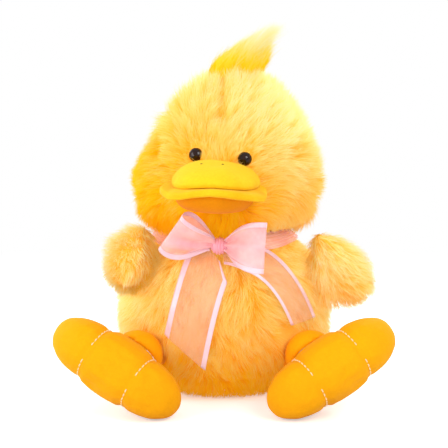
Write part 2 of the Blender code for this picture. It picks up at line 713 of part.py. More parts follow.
def build_leg_and_foot(side, finishes, floor, body_cover):
    """The leg, whose ball end turns in the body's dimple, and the foot, which stands on its inner edge."""
    sign = SIDES[side]
    point, outward = BODY.side(sign * HIP_TURN, HIP_HEIGHT)
    hip = point + outward * HIP_STANDOFF
    holder = pivot(f"leg_{side}_pivot", hip)
    sideways = Vector((sign * math.cos(FOOT_YAW), math.sin(FOOT_YAW), 0))
    wide = sideways * math.cos(FOOT_ROLL) + UP * math.sin(FOOT_ROLL)
    forward = Vector((sign * math.sin(FOOT_YAW), -math.cos(FOOT_YAW), 0))
    toe = forward * math.cos(FOOT_PITCH) + sign * forward.cross(wide) * math.sin(FOOT_PITCH)
    form = foot_form(FOOT_WIDTH, FOOT_TOE_REACH, FOOT_HEEL_REACH, FOOT_THICKNESS, FOOT_ACROSS_SHARES)
    sole = form.mesh("foot", None, 16)
    turned = frame_of(toe, wide, Vector())
    lowest = min((turned @ vert.co).z for vert in sole.vertices)
    ankle = outward * ANKLE_REACH
    ankle.z = -FLOOR_CUT - lowest - hip.z
    wall = FABRIC_WALL + FOOT_THICKNESS / 2 * FOOT_CHANNEL_SHARE
    toe_room, heel_room = FOOT_TOE_REACH - wall, FOOT_HEEL_REACH - wall
    hollow = foot_form(
        FOOT_WIDTH - 2 * wall, toe_room, heel_room, FOOT_THICKNESS - 2 * wall, FOOT_HOLLOW_SHARES
    )
    foot_cover, _ = stuffed(
        "foot_" + side,
        sole,
        hollow.mesh("foot_cavity", None, 12),
        finishes["foot"],
        Matrix.Translation(ankle - sideways * FOOT_INWARD) @ turned,
        holder,
    )
    length = ankle.length
    end = LEG_RADIUS * LEG_TAPER_SHARE
    leg_frame = frame_of(UP, ankle, Vector())
    hollow_leg = leg_form(LEG_RADIUS - FABRIC_WALL, length, end - FABRIC_WALL, OVERRUN)
    leg = stuffed(
        "leg_" + side,
        leg_form(LEG_RADIUS, length, end, 0).mesh("leg", None, 16),
        hollow_leg.mesh("leg_cavity", None, 12),
        finishes["leg"],
        leg_frame,
        holder,
    )
    foot_skin = grown(bpy.data.objects[f"foot_{side}_outside"], GAP)
    for made in leg:
        cut(made, foot_skin)
    mouth = (0, end - FABRIC_WALL, end - FABRIC_WALL, 0)
    throat = Form((0, 0, length, length), mouth, mouth).mesh("throat", None, 12)
    cut(foot_cover, floor, add_object("throat_" + side, throat, None, leg_frame, holder))
    radius = LEG_RADIUS + SWING_GAP
    dimple = ball_form(radius, radius, radius, 11).mesh("dimple", None, 18)
    cut(body_cover, add_object("dimple_" + side, dimple, None, None, holder))


def build_tail(finishes, body_skin):
    """The short upturned tail on the back."""
    form = Form(
        TAIL_LENGTH * np.array(TAIL_ALONG_SHARES),
        TAIL_WIDTH / 2 * np.array(TAIL_WIDE_SHARES),
        TAIL_THICKNESS / 2 * np.array(TAIL_THICK_SHARES),
    )
    inner_along = (TAIL_LENGTH - PILE_WALL) * np.array(TAIL_HOLLOW_ALONG_SHARES)
    hollow = Form(
        np.concatenate([[-OVERRUN, -OVERRUN], inner_along]),
        (TAIL_WIDTH / 2 - PILE_WALL) * np.array(TAIL_HOLLOW_SHARES),
        (TAIL_THICKNESS / 2 - PILE_WALL) * np.array(TAIL_HOLLOW_SHARES),
    )
    back = BODY.sizes_at(TAIL_HEIGHT)[1] + BODY_FRONT_SHIFT
    pointing = Vector((0, math.cos(TAIL_RISE), math.sin(TAIL_RISE)))
    root = Vector((0, back, TAIL_HEIGHT)) - pointing * TAIL_ROOT
    tail = stuffed(
        "tail",
        form.mesh("tail", 12, 14),
        hollow.mesh("tail_cavity", None, 10),
        finishes["plush"],
        frame_of(Vector((1, 0, 0)), pointing, root),
    )
    for made in tail:
        cut(made, body_skin)


def knot_place():
    _, half_y, _, shift_y = BODY.sizes_at(NECK_HEIGHT - NECK_RIBBON_DROP)
    forward = shift_y - half_y - NECK_RIBBON_THICKNESS - 2 * GAP - KNOT_DEPTH / 2
    return Vector((KNOT_SIDE, forward, NECK_HEIGHT - NECK_RIBBON_DROP))


def build_neck_ribbon(finishes, body_skin, knot_skin):
    """The band round the neck, between the knot's two sides."""
    middle = NECK_HEIGHT - NECK_RIBBON_DROP
    half_x, half_y, shift_x, shift_y = BODY.sizes_at(middle)
    rise = NECK_RIBBON_HEIGHT / 2
    outer = NECK_RIBBON_THICKNESS
    outline = [(0, -rise), (0, 0), (0, rise), (outer, rise / 2), (outer, -rise / 2)]
    points = bmesh.new()
    loops = []
    for step in range(36):
        angle = 2 * math.pi * step / 36
        loop = []
        for out, up in outline:
            x = shift_x + (half_x + GAP + out) * math.cos(angle)
            y = shift_y + (half_y + GAP + out) * math.sin(angle)
            loop.append(points.verts.new((x, y, middle + up)))
        loops.append(loop)
    for one, two in zip(loops, loops[1:] + loops[:1]):
        for step in range(len(outline)):
            after = (step + 1) % len(outline)
            points.faces.new((one[step], one[after], two[after], two[step]))
    band = add_object("neck_ribbon", finished_mesh(points, "neck_ribbon"), finishes["ribbon"])
    cut(band, body_skin, knot_skin)


def build_knot(finishes, *skins):
    form = ball_form(KNOT_HEIGHT / 2, KNOT_WIDTH / 2, KNOT_DEPTH / 2, 9, KNOT_FULL_SHARE, BILL_FULLNESS)
    placed = Matrix.Translation(knot_place())
    knot = add_object("bow_knot", form.mesh("bow_knot", None, 14), finishes["ribbon"], placed)
    knot_skin = grown(knot, GAP)
    cut(knot, *skins)
    return knot_skin


def strip(name, rows, finish, placed=None):
    """A ribbon from rows of points across it, thickened to one side."""
    points = bmesh.new()
    grid = [[points.verts.new(point) for point in row] for row in rows]
    for one, two in zip(grid, grid[1:]):
        for step in range(len(one) - 1):
            points.faces.new((one[step], one[step + 1], two[step + 1], two[step]))
    mesh = bpy.data.meshes.new(name)
    points.to_mesh(mesh)
    points.free()
    mesh.shade_smooth()
    made = add_object(name, mesh, finish, placed)
    modifier = made.modifiers.new("cloth", "SOLIDIFY")
    modifier.thickness = RIBBON_THICKNESS
    modifier.offset = 0
    modifier.use_even_offset = True
    return made


def build_loop(side, finishes, *skins):
    """A bow loop: out from the knot and back, gathered at the knot and full width at its bend."""
    sign = SIDES[side]
    pinch = RIBBON_THICKNESS + GAP
    spread = LOOP_OPENING / 2 - pinch
    rows = []
    for step in range(17):
        turn = 2 * math.pi * (step + 0.5) / 17
        out = (1 - math.cos(turn)) / 2
        opening = (pinch + spread * math.sin(min(out / LOOP_SWELL_SHARE, 1) * math.pi / 2)) * math.sin(turn)
        if out < LOOP_SWELL_SHARE / 2:
            opening = math.copysign(max(abs(opening), pinch), opening)
        width = RIBBON_WIDTH * (GATHER_SHARE + (1 - GATHER_SHARE) * math.sin(out * math.pi / 2))
        row = []
        for share in np.linspace(-1, 1, 7):
            ripple = LOOP_RIPPLE * math.cos(share * LOOP_RIPPLES * 2 * math.pi) * out * (1 - out) * 4
            row.append((width / 2 * share, opening + math.copysign(ripple, opening), LOOP_LENGTH * out))
        rows.append(row)
    level = Vector((sign * math.cos(LOOP_YAW[side]), -math.sin(LOOP_YAW[side]), 0))
    outward = level * math.cos(LOOP_LIFT[side]) + UP * math.sin(LOOP_LIFT[side])
    tall = Matrix.Rotation(sign * LOOP_ROLL[side], 3, outward) @ UP
    start = knot_place() + outward * (KNOT_WIDTH / 2 - GAP)
    made = strip("bow_loop_" + side, rows, finishes["ribbon"], frame_of(tall, outward, start))
    cut(made, *skins)


def build_ribbon_tail(side, finishes, knot_skin):
    """A free end of the ribbon, from under the knot down over the chest, slanted at its end."""
    knot = knot_place()
    under_knot = knot.z - KNOT_HEIGHT / 2 + GAP
    start = Vector((knot.x + SIDES[side] * KNOT_WIDTH / 4, 0, under_knot))
    via = start + Vector((RIBBON_TAIL_VIA_SIDE[side], 0, RIBBON_TAIL_VIA_RISE[side]))
    end = start + Vector((RIBBON_TAIL_END_SIDE[side], 0, -RIBBON_TAIL_END_DROP[side]))
    full_share = RIBBON_TAIL_WIDTH_SHARE[side]
    below_band = NECK_HEIGHT - NECK_RIBBON_DROP - NECK_RIBBON_HEIGHT
    rows = []
    for t in np.linspace(0, 1, 15):
        width = RIBBON_WIDTH * (GATHER_SHARE + (full_share - GATHER_SHARE) * min(t / FANNED_SHARE[side], 1))
        middle = start * (1 - t) ** 2 + via * (2 * t * (1 - t)) + end * t**2
        down = ((via - start) * (1 - t) + (end - via) * t).normalized()
        across = Vector((-down.z, 0, down.x))
        row = []
        for share in np.linspace(-1, 1, 7):
            point = middle + across * (width / 2 * share) + down * (RIBBON_TAIL_SLANT[side] * share * t)
            wave = RIBBON_TAIL_WAVE * (1 + math.cos(share * RIBBON_TAIL_WAVES * 2 * math.pi)) / 2 * t
            drape = BODY.front(point.x, min(point.z, below_band)) - DRAPE_GAP - wave
            near = min(t / DRAPED_SHARE, 1)
            point.y = drape * near + min(knot.y, drape) * (1 - near)
            row.append(point)
        rows.append(row)
    cut(strip("ribbon_tail_" + side, rows, finishes["ribbon"]), knot_skin)


def main():
    for old in list(bpy.data.objects):
        bpy.data.objects.remove(old, do_unlink=True)
    stuffing = material("polyester_stuffing", STUFFING_WHITE, 0.95)
    finishes = {
        "plush": (material("plush", PLUSH_YELLOW, 0.9), stuffing),
        "bill": (material("bill_fabric", BILL_YELLOW, 0.85), stuffing),
        "jaw": (material("lower_bill_fabric", BILL_ORANGE, 0.85), stuffing),
        "foot": (material("foot_fabric", FOOT_YELLOW, 0.85), stuffing),
        "leg": (material("leg_fabric", BILL_ORANGE, 0.85), stuffing),
        "crest": material("crest_plush", CREST_YELLOW, 0.9),
        "pellets": material("pellet_bag_cloth", PELLET_GREY, 0.8),
        "eye": material("eye_plastic", EYE_BROWN, 0.12),
        "washer": material("washer_plastic", WASHER_WHITE, 0.5),
        "ribbon": material("organza_ribbon", RIBBON_PINK, 0.5),
    }
    lower_face = NECK_HEIGHT - GAP / 2
    upper_face = NECK_HEIGHT + GAP / 2
    floor = block("floor", (-REACH, -REACH, -REACH), (REACH, REACH, 0))
    above_neck = block("above_neck", (-REACH, -REACH, lower_face), (REACH, REACH, REACH))
    below_neck = block("below_neck", (-REACH, -REACH, -REACH), (REACH, REACH, upper_face))
    neck_pivot = pivot("neck_pivot", (0, 0, NECK_HEIGHT))

    body_cover = build_body(finishes, floor, above_neck)
    head_cover, head_stuffing, pose = build_head(finishes, below_neck, neck_pivot)
    body_skin = grown(bpy.data.objects["body_outside"], GAP)
    head_skin = grown(bpy.data.objects["head_outside"], GAP)
    build_crest(finishes, head_skin, pose, neck_pivot)
    build_bill(finishes, head_skin, pose, neck_pivot)
    build_tail(finishes, body_skin)
    turning_head = grown(bpy.data.objects["head_outside"], TURN_GAP)
    knot_skin = build_knot(finishes, body_skin, turning_head)
    build_neck_ribbon(finishes, body_skin, knot_skin)
    for side in SIDES:
        build_eye(side, finishes, head_cover, head_stuffing, pose, neck_pivot)
        build_wing(side, finishes, body_cover)
        build_leg_and_foot(side, finishes, floor, body_cover)
        build_loop(side, finishes, knot_skin, turning_head)
        build_ribbon_tail(side, finishes, knot_skin)


main()
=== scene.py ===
import json
import math

import bmesh
import bpy
import numpy as np
from mathutils import Matrix, Vector
from mathutils.bvhtree import BVHTree
from mathutils.kdtree import KDTree
from mathutils.noise import noise_vector


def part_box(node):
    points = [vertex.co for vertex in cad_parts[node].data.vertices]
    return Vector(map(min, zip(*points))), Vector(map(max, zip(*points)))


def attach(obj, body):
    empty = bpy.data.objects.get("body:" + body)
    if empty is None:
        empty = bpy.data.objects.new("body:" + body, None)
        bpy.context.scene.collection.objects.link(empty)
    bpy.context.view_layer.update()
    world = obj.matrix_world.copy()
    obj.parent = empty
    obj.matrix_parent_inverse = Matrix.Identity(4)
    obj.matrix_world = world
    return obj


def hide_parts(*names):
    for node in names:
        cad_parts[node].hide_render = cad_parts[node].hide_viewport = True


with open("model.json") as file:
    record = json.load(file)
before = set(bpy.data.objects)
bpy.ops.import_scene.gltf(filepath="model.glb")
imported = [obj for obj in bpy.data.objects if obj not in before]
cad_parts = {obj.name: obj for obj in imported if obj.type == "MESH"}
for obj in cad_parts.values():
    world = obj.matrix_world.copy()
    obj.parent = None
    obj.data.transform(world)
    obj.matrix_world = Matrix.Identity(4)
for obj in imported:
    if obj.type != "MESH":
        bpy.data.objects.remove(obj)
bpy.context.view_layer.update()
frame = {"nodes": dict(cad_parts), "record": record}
NODES = frame["nodes"]
JOINTS = {joint["name"]: joint for joint in frame["record"]["behaviour"]["joints"]}
SCENE = bpy.context.scene
SCENE.view_settings.view_transform = "Standard"


def middle_of(node):
    """The middle of a node's box."""
    low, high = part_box(node)
    return (Vector(low) + Vector(high)) / 2


def joint_place(name):
    return Vector(JOINTS[name]["pos_m"])


# Camera of the photograph. Lengths here and below are in metres, unless a name says otherwise.
CAMERA_DISTANCE = 1.3
CAMERA_RISE = math.radians(10.5)
CAMERA_TARGET = Vector((0, 0, 0.124))
CAMERA_BACK = Vector((0, -math.cos(CAMERA_RISE), math.sin(CAMERA_RISE)))
CAMERA_PLACE = CAMERA_TARGET + CAMERA_BACK * CAMERA_DISTANCE
VIEW_WIDTH = 0.34
SENSOR_MM = 36

# Places in the photograph, in pixels from its top left corner.
PHOTO_PIXELS = 448
SEAM_PIXELS = (((221, 70), (217, 100), (214, 123)), ((303, 145), (289, 152)), ((158, 138), (159, 150)))
CHEEK_PIXEL = (146, 172)
NOSTRIL_PIXELS = ((201.5, 164), (223, 164.5))

# Pile.
PILE_DEPTH = 0.010
PILE_LENGTH = 0.0180
RISE = 0.56
BEND = 0.72
SWIRL = 0.45
SWIRL_WIDTH = 0.06
FINE_SWIRL_WIDTH = 0.022
STRAND_POINTS = 5
ALONG = np.linspace(0, 1, STRAND_POINTS)
STRAND_WIDTH = 0.00040
STRAND_ROUNDNESS = 0.5
STRANDS_PER_SQUARE_METRE = 1.5e6
STRANDS_IN_LOCK = 300
STRANDS_IN_WISP = 16
# How far locks, wisps and single strands stray: in aim and rise, as angles, and in share of length and tone.
STRAY_AIM = {"lock": 0.45, "wisp": 0.55, "strand": 0.45}
STRAY_RISE = {"lock": 0.12, "wisp": 0.13, "strand": 0.18}
STRAY_LENGTH = {"lock": 0.05, "wisp": 0.08, "strand": 0.10}
STRAY_TONE = {"lock": 0.05, "wisp": 0.08, "strand": 0.06}
LOCK_AIM_PULL = 0.9
WISP_AIM_PULL = 1.2
LOCK_PULL = 0.10
WISP_PULL = 0.34
TIP_SWAY = 0.00060
TIP_SAG = 0.0012
TRANSLUCENT_SHARE = 0.34
THIN_SHARE = 0.90
# The pile glows a little in its own colour: painted light, in place of light scattered among its strands.
SCATTER_GLOW = 0.37
# Where the four colours of a strand lie between its root and its tip.
DEEP_PLACES = (0.0, 0.4, 0.75, 1.0)
PALE_PLACES = (0.0, 0.35, 0.7, 1.0)

# Ribbon.
RIBBON_WIDTH = 0.037
RIBBON_CLOTH = 0.00025
SATIN_SHARE = 0.80
TUCK_FROM = -0.02
TUCK_GAP = 0.0006
KNOT = middle_of("bow_knot")
BAND_HEIGHT = 0.1185

# The duck.
NECK_HEIGHT = 0.12348
BILL_HEIGHT = 0.0415
BILL_FRONT = -0.06427
SIDES = {"left": 1, "right": -1}
LAYERS = ("cover", "stuffing")
EYES = {side: middle_of("eye_" + side) for side in SIDES}


def spot(pixel, tree):
    """The place on a surface that a pixel of the photograph shows."""
    up = Vector((0, math.sin(CAMERA_RISE), math.cos(CAMERA_RISE)))
    scale = VIEW_WIDTH / PHOTO_PIXELS
    across = (pixel[0] - PHOTO_PIXELS / 2) * scale
    along = (PHOTO_PIXELS / 2 - pixel[1]) * scale
    aim = (CAMERA_TARGET + Vector((across, 0, 0)) + up * along - CAMERA_PLACE).normalized()
    return tree.ray_cast(CAMERA_PLACE, aim)[0]


# Materials.


class Graph:
    """A shader node tree. A node's input is given by its name, or by i and its number."""

    def __init__(self, tree):
        self.tree = tree

    def feed(self, socket, value):
        """Links another node's output to a socket, or sets the socket's own value."""
        if isinstance(value, bpy.types.NodeSocket):
            self.tree.links.new(value, socket)
        else:
            socket.default_value = value

    def node(self, kind, settings=None, **inputs):
        made = self.tree.nodes.new("ShaderNode" + kind)
        for name, value in (settings or {}).items():
            setattr(made, name, value)
        for name, value in inputs.items():
            numbered = name[0] == "i" and name[1:].isdigit()
            self.feed(made.inputs[int(name[1:]) if numbered else name], value)
        return made

    def place(self):
        return self.node("TexCoord").outputs["Object"]

    def maths(self, operation, one, two=0.5):
        return self.node("Math", {"operation": operation}, i0=one, i1=two).outputs[0]


class Look(Graph):
    """A material whose nodes feed one Principled shader."""

    def __init__(self, name, roughness=0.8, **sockets):
        self.material = bpy.data.materials.new(name)
        self.material.use_nodes = True
        super().__init__(self.material.node_tree)
        self.shader = self.tree.nodes["Principled BSDF"]
        self.shader.inputs["Roughness"].default_value = roughness
        for socket, value in sockets.items():
            self.shader.inputs[socket.replace("_", " ")].default_value = value

    def ramp(self, factor, places, codes):
        made = self.node("ValToRGB", Fac=factor)
        line = made.color_ramp.elements
        while len(line) < len(codes):
            line.new(0.5)
        for stop, place, code in zip(line, places, codes):
            stop.position = place
            stop.color = (*srgb(code), 1)
        return made.outputs["Color"]

    def mix(self, factor, one, two):
        made = self.node("Mix", {"data_type": "RGBA"}, Factor=factor)
        for socket, value in ((made.inputs[6], one), (made.inputs[7], two)):
            self.feed(socket, value if isinstance(value, bpy.types.NodeSocket) else (*value, 1))
        return made.outputs[2]

    def noise(self, scale, detail=3.0, vector=None, roughness=0.55):
        vector = vector or self.place()
        made = self.node("TexNoise", Vector=vector, Scale=scale, Detail=detail, Roughness=roughness)
        return made.outputs["Fac"]

    def bands(self, scale, distortion, vector=None):
        vector = vector or self.place()
        made = self.node("TexWave", {"wave_type": "BANDS"}, Vector=vector, Scale=scale, Distortion=distortion)
        return made.outputs["Fac"]

    def span(self, value, low, high, to_low=0.0, to_high=1.0):
        return self.node("MapRange", i0=value, i1=low, i2=high, i3=to_low, i4=to_high).outputs[0]

    def colour(self, value):
        self.feed(self.shader.inputs["Base Color"], value)

    def glow(self, value, strength):
        """A little light of the cloth's own, which stands in for light scattered inside it."""
        self.feed(self.shader.inputs["Emission Color"], value)
        self.feed(self.shader.inputs["Emission Strength"], strength)

    def bump(self, height, strength, distance):
        made = self.node("Bump", Strength=strength, Distance=distance, Height=height)
        self.feed(self.shader.inputs["Normal"], made.outputs[0])


def srgb(code):
    """Linear colour of a hex code."""
    values = [int(code[i : i + 2], 16) / 255 for i in (0, 2, 4)]
    return tuple(v / 12.92 if v <= 0.04045 else ((v + 0.055) / 1.055) ** 2.4 for v in values)


def pile_look(name, deep, pale, scatter_glow=SCATTER_GLOW, deep_places=DEEP_PLACES):
    """Pile whose colour goes from root to tip, along V, and from deep to pale strands, along U."""
    look = Look(name, 0.85, Specular_IOR_Level=0.02)
    split = look.node("SeparateXYZ", Vector=look.node("UVMap", {"uv_map": "OFBake"}).outputs[0])
    # From root to tip the colour pales: partly the pile's own colour, partly painted shade deep in the pile.
    golden = look.ramp(split.outputs[1], deep_places, deep)
    light = look.ramp(split.outputs[1], PALE_PLACES, pale)
    tone = look.mix(split.outputs[0], golden, light)
    look.colour(tone)
    # Painted light: the strands glow in their own colour.
    look.glow(tone, scatter_glow)
    face = look.node("NewGeometry")
    turn = look.span(face.outputs["Backfacing"], 0, 1, 1, -1)
    facing = look.node("VectorMath", {"operation": "SCALE"}, i0=face.outputs["Normal"], Scale=turn).outputs[0]
    look.feed(look.shader.inputs["Normal"], facing)
    through = look.node("BsdfTranslucent", Color=tone, Normal=facing)
    blend = look.node("MixShader", Fac=TRANSLUCENT_SHARE, i1=look.shader.outputs[0], i2=through.outputs[0])
    clear = look.node("BsdfTransparent", Color=(1.0, 0.90, 0.50, 1.0))
    thin = look.maths("MULTIPLY", look.node("LightPath").outputs["Is Shadow Ray"], THIN_SHARE)
    both = look.node("MixShader", Fac=thin, i1=blend.outputs[0], i2=clear.outputs[0])
    look.feed(look.tree.nodes["Material Output"].inputs["Surface"], both.outputs[0])
    return look.material


def backing_look():
    """The knitted backing at the foot of the pile."""
    look = Look("pile_backing", 0.9)
    fine = look.noise(900, 2)
    broad = look.noise(40, 2)
    tone = look.mix(fine, srgb("FFC020"), srgb("FFD250"))
    look.colour(look.mix(look.span(broad, 0.35, 0.65, 0, 0.35), tone, srgb("FFE078")))
    look.bump(fine, 0.4, 0.0006)
    return look.material


def cloth_look(name, light, dark, low=0.0, high=0.06, sheen=0.04):
    """Short napped fabric: a fine nap, faint blotches, and a deeper colour low down, which is painted shade.
    """
    look = Look(name, 0.78, Sheen_Weight=sheen, Sheen_Roughness=0.35, Specular_IOR_Level=0.1)
    where = look.place()
    split = look.node("SeparateXYZ", Vector=where)
    # Painted shade: the cloth turns darker below the given heights.
    height = look.span(split.outputs[2], low, high)
    blotch = look.noise(55, 3, where)
    nap = look.noise(1700, 3, where, 0.7)
    weave = look.noise(520, 2, where)
    tone = look.mix(look.maths("MULTIPLY_ADD", blotch, 0.5), dark, light)
    tone = look.mix(look.span(blotch, 0.3, 0.7, 0.15, 0.85), dark, tone)
    tone = look.mix(height, tone, light)
    tone = look.mix(look.span(nap, 0.3, 0.7, 0.0, 0.16), tone, tuple(min(1, c * 1.2 + 0.004) for c in light))
    tone = look.mix(look.span(weave, 0.35, 0.65, 0.0, 0.10), tone, tuple(c * 0.7 for c in dark))
    look.colour(tone)
    look.bump(look.maths("ADD", nap, weave), 0.35, 0.0004)
    return look.material


def thread_look():
    look = Look("stitch_thread", 0.55, Sheen_Weight=0.2)
    twist = look.bands(900.0, 1.0)
    look.colour(look.mix(twist, srgb("F3C987"), srgb("FFE9C0")))
    look.bump(twist, 0.4, 0.0001)
    return look.material


def nostril_look():
    look = Look("nostril_thread", 0.7)
    look.colour((*srgb("3A2A08"), 1))
    return look.material


def fibre_look():
    look = Look("loose_fibre", 0.95)
    strand = look.noise(420, 6, None, 0.7)
    look.colour(look.mix(strand, srgb("D8D8D2"), srgb("FFFFFA")))
    look.bump(strand, 0.7, 0.0012)
    return look.material


def bag_look():
    look = Look("pellet_bag_weave", 0.85)
    lines = look.bands(420.0, 0.6)
    bumps = look.noise(330, 1)
    look.colour(look.mix(lines, srgb("A9ACB0"), srgb("D9DBDC")))
    look.bump(look.maths("ADD", lines, bumps), 0.5, 0.0008)
    return look.material


def eye_look():
    look = Look("eye_gloss", 0.07, Specular_IOR_Level=0.28, Coat_Weight=0.08, Coat_Roughness=0.02)
    depth = look.noise(220, 2)
    look.colour(look.mix(look.span(depth, 0.3, 0.7), srgb("100503"), srgb("2A0F07")))
    look.bump(look.noise(800, 1), 0.02, 0.0002)
    return look.material


def washer_look():
    look = Look("washer_moulded", 0.45)
    grain = look.noise(600, 2)
    look.colour(look.mix(grain, srgb("DAD9D4"), srgb("EFEEE9")))
    look.bump(grain, 0.1, 0.0001)
    return look.material


def organza_look(name, alpha, one, two, scatter_glow):
    """Sheer plain weave, with its own faint threads, that lets light through."""
    look = Look(name, 0.42, Sheen_Weight=0.35, Sheen_Roughness=0.3, Alpha=alpha)
    where = look.place()
    threads = look.bands(700.0, 1.5, where)
    cloudy = look.noise(70, 3, where)
    tone = look.mix(look.span(cloudy, 0.3, 0.7), srgb(one), srgb(two))
    tone = look.mix(look.maths("MULTIPLY", threads, 0.2), tone, srgb("FFDCDC"))
    look.colour(tone)
    # Painted light: the cloth glows a little in its own colour, in place of light that passes through the
    # weave.
    look.glow(tone, scatter_glow)
    look.bump(look.maths("ADD", threads, cloudy), 0.25, 0.0002)
    return look.material


def satin_look(name, one, two):
    look = Look(name, 0.28, Sheen_Weight=0.2, Coat_Weight=0.15, Coat_Roughness=0.3)
    where = look.place()
    threads = look.bands(900.0, 0.8, where)
    cloudy = look.noise(90, 2, where)
    tone = look.mix(look.span(cloudy, 0.3, 0.7), srgb(one), srgb(two))
    look.colour(look.mix(look.maths("MULTIPLY", threads, 0.2), tone, srgb("FFFFFF")))
    look.bump(threads, 0.15, 0.0001)
    return look.material


# Body and wing strands go from a deep root to a pale tip: partly the pile's own colour, partly painted shade
# deep in the pile.
BODY_DEEP = ("FF9802", "FFB200", "FFC206", "FFD028")
BODY_PALE = ("FFC030", "FFDC6A", "FFEEA4", "FFF8D8")
WING_DEEP = ("FF9C00", "FFB41C", "FFC430", "FFD450")
WING_PALE = ("FFCC48", "FFE07C", "FFF0B0", "FFF9DC")
CREST_DEEP = ("EDBA00", "ECCB10", "E8DE90", "EEEBDA")
CREST_PALE = ("F2CC10", "F0DE50", "F0EBC4", "F8F6F0")

LOOKS = {
    "pile": pile_look("pile", BODY_DEEP, BODY_PALE),
    "wing": pile_look("wing_pile", WING_DEEP, WING_PALE, 0.39),
    "crest": pile_look("crest_pile", CREST_DEEP, CREST_PALE, 0.40, PALE_PLACES),
    "backing": backing_look(),
    # The cloth looks darken below the two heights given after their colours: painted shade.
    "bill": cloth_look("bill_nap", srgb("F8CE22"), srgb("EEA400"), 0.162, 0.182),
    "jaw": cloth_look("jaw_nap", srgb("E89000"), srgb("DC7A00"), 0.145, 0.165),
    "foot": cloth_look("foot_nap", srgb("F2A802"), srgb("E29400"), 0.0, 0.06),
    "leg": cloth_look("leg_nap", srgb("F8A800"), srgb("F08C00"), 0.02, 0.06),
    "thread": thread_look(),
    "fibre": fibre_look(),
    "bag": bag_look(),
    "eye": eye_look(),
    "washer": washer_look(),
    "organza": organza_look("organza", 0.23, "F8AE94", "FAC6B0", 0.0),
    # The loops and the neck band glow a little: painted light.
    "organza_loop": organza_look("organza_loop", 0.37, "FFB0BC", "FFDCE0", 0.13),
    "satin": satin_look("satin_edge", "E4B6C6", "F0CCD8"),
    "knot": satin_look("knot_cloth", "F58FA8", "FBB4C4"),
    "nostril": nostril_look(),
}


# Meshes.


def joined_polygons(nodes):
    """Points and polygons of several nodes as one list."""
    points, polygons = [], []
    for name in nodes:
        mesh = NODES[name].data
        start = len(points)
        points += [v.co.copy() for v in mesh.vertices]
        polygons += [[start + i for i in p.vertices] for p in mesh.polygons]
    return points, polygons


def tree_of(*nodes):
    return BVHTree.FromPolygons(*joined_polygons(nodes))


def mesh_of(name, points, corners, sizes):
    """A mesh from arrays: points, the corner list and the corner count of each face."""
    mesh = bpy.data.meshes.new(name)
    mesh.vertices.add(len(points))
    mesh.vertices.foreach_set("co", np.asarray(points, np.float32).ravel())
    mesh.loops.add(len(corners))
    mesh.loops.foreach_set("vertex_index", np.asarray(corners, np.int32))
    mesh.polygons.add(len(sizes))
    starts = np.concatenate([[0], np.cumsum(sizes)[:-1]])
    mesh.polygons.foreach_set("loop_start", starts.astype(np.int32))
    mesh.update(calc_edges=True)
    mesh.shade_smooth()
    return mesh


def linked(name, data):
    """A new object in the scene."""
    made = bpy.data.objects.new(name, data)
    SCENE.collection.objects.link(made)
    return made


def mesh_from(name, points, faces):
    """A smooth-shaded mesh from lists of points and faces."""
    mesh = bpy.data.meshes.new(name)
    mesh.from_pydata(points, [], faces)
    mesh.shade_smooth()
    return mesh


def points_of(mesh):
    return np.array([v.co for v in mesh.vertices])


def move_points(mesh, places):
    mesh.vertices.foreach_set("co", places.astype(np.float32).ravel())
    mesh.update()


def piece(name, mesh, finish, body, replaced=()):
    made = linked(name, mesh)
    if not mesh.materials:
        mesh.materials.append(LOOKS[finish])
    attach(made, body)
    if replaced:
        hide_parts(*replaced)
    return made


RAY_START = 0.4
GAP_ROUNDS = 600


class Skin:
    """The outer surface of some nodes, smoothed and seen from its middle, with the backing under its pile."""

    def __init__(self, nodes, depth, gaps=(), detail=5, rounds=6, fuller=None):
        self.centre = middle_of(nodes[0])
        tree = tree_of(*nodes)
        ball = bmesh.new()
        bmesh.ops.create_icosphere(ball, subdivisions=detail, radius=1)
        ball.verts.ensure_lookup_table()
        aims = np.array([v.co.normalized() for v in ball.verts])
        self.faces = np.array([[v.index for v in f.verts] for f in ball.faces])
        ends = np.array([[v.index for v in e.verts] for e in ball.edges])
        ball.free()
        reach = np.full(len(aims), np.nan)
        for i, aim in enumerate(aims):
            aim = Vector(aim)
            hit = tree.ray_cast(self.centre + aim * RAY_START, -aim)
            if hit[0]:
                reach[i] = RAY_START - hit[3]
        places = np.array(self.centre) + aims * np.nan_to_num(reach, nan=0)[:, None]
        unknown = np.isnan(reach)
        for point, radius in gaps:
            unknown |= np.linalg.norm(places - np.array(point), axis=1) < radius
        reach[unknown] = np.nanmean(reach)
        counts = np.bincount(ends.ravel(), minlength=len(aims))

        def spread(values):
            total = np.zeros_like(values)
            np.add.at(total, ends[:, 0], values[ends[:, 1]])
            np.add.at(total, ends[:, 1], values[ends[:, 0]])
            return total / counts

        for _ in range(GAP_ROUNDS if unknown.any() else 0):
            reach[unknown] = spread(reach)[unknown]
        for _ in range(rounds):
            reach = reach * 0.4 + spread(reach) * 0.6
        self.tips = np.array(self.centre) + aims * reach[:, None]
        if fuller:
            self.tips = self.tips + fuller(self.tips, self.point_normals(self.tips))
        self.normals = self.point_normals(self.tips)
        self.depth = depth(self.tips)
        self.points = self.tips - self.normals * self.depth[:, None]
        self.tree = BVHTree.FromPolygons(
            [Vector(p) for p in self.tips], [tuple(int(i) for i in f) for f in self.faces]
        )

    def point_normals(self, points):
        one, two, three = (points[self.faces[:, i]] for i in range(3))
        face = np.cross(two - one, three - one)
        total = np.zeros_like(points)
        for i in range(3):
            np.add.at(total, self.faces[:, i], face)
        return total / np.linalg.norm(total, axis=1)[:, None]

    def mesh(self, name):
        return mesh_of(name, self.points, self.faces.ravel(), np.full(len(self.faces), 3))


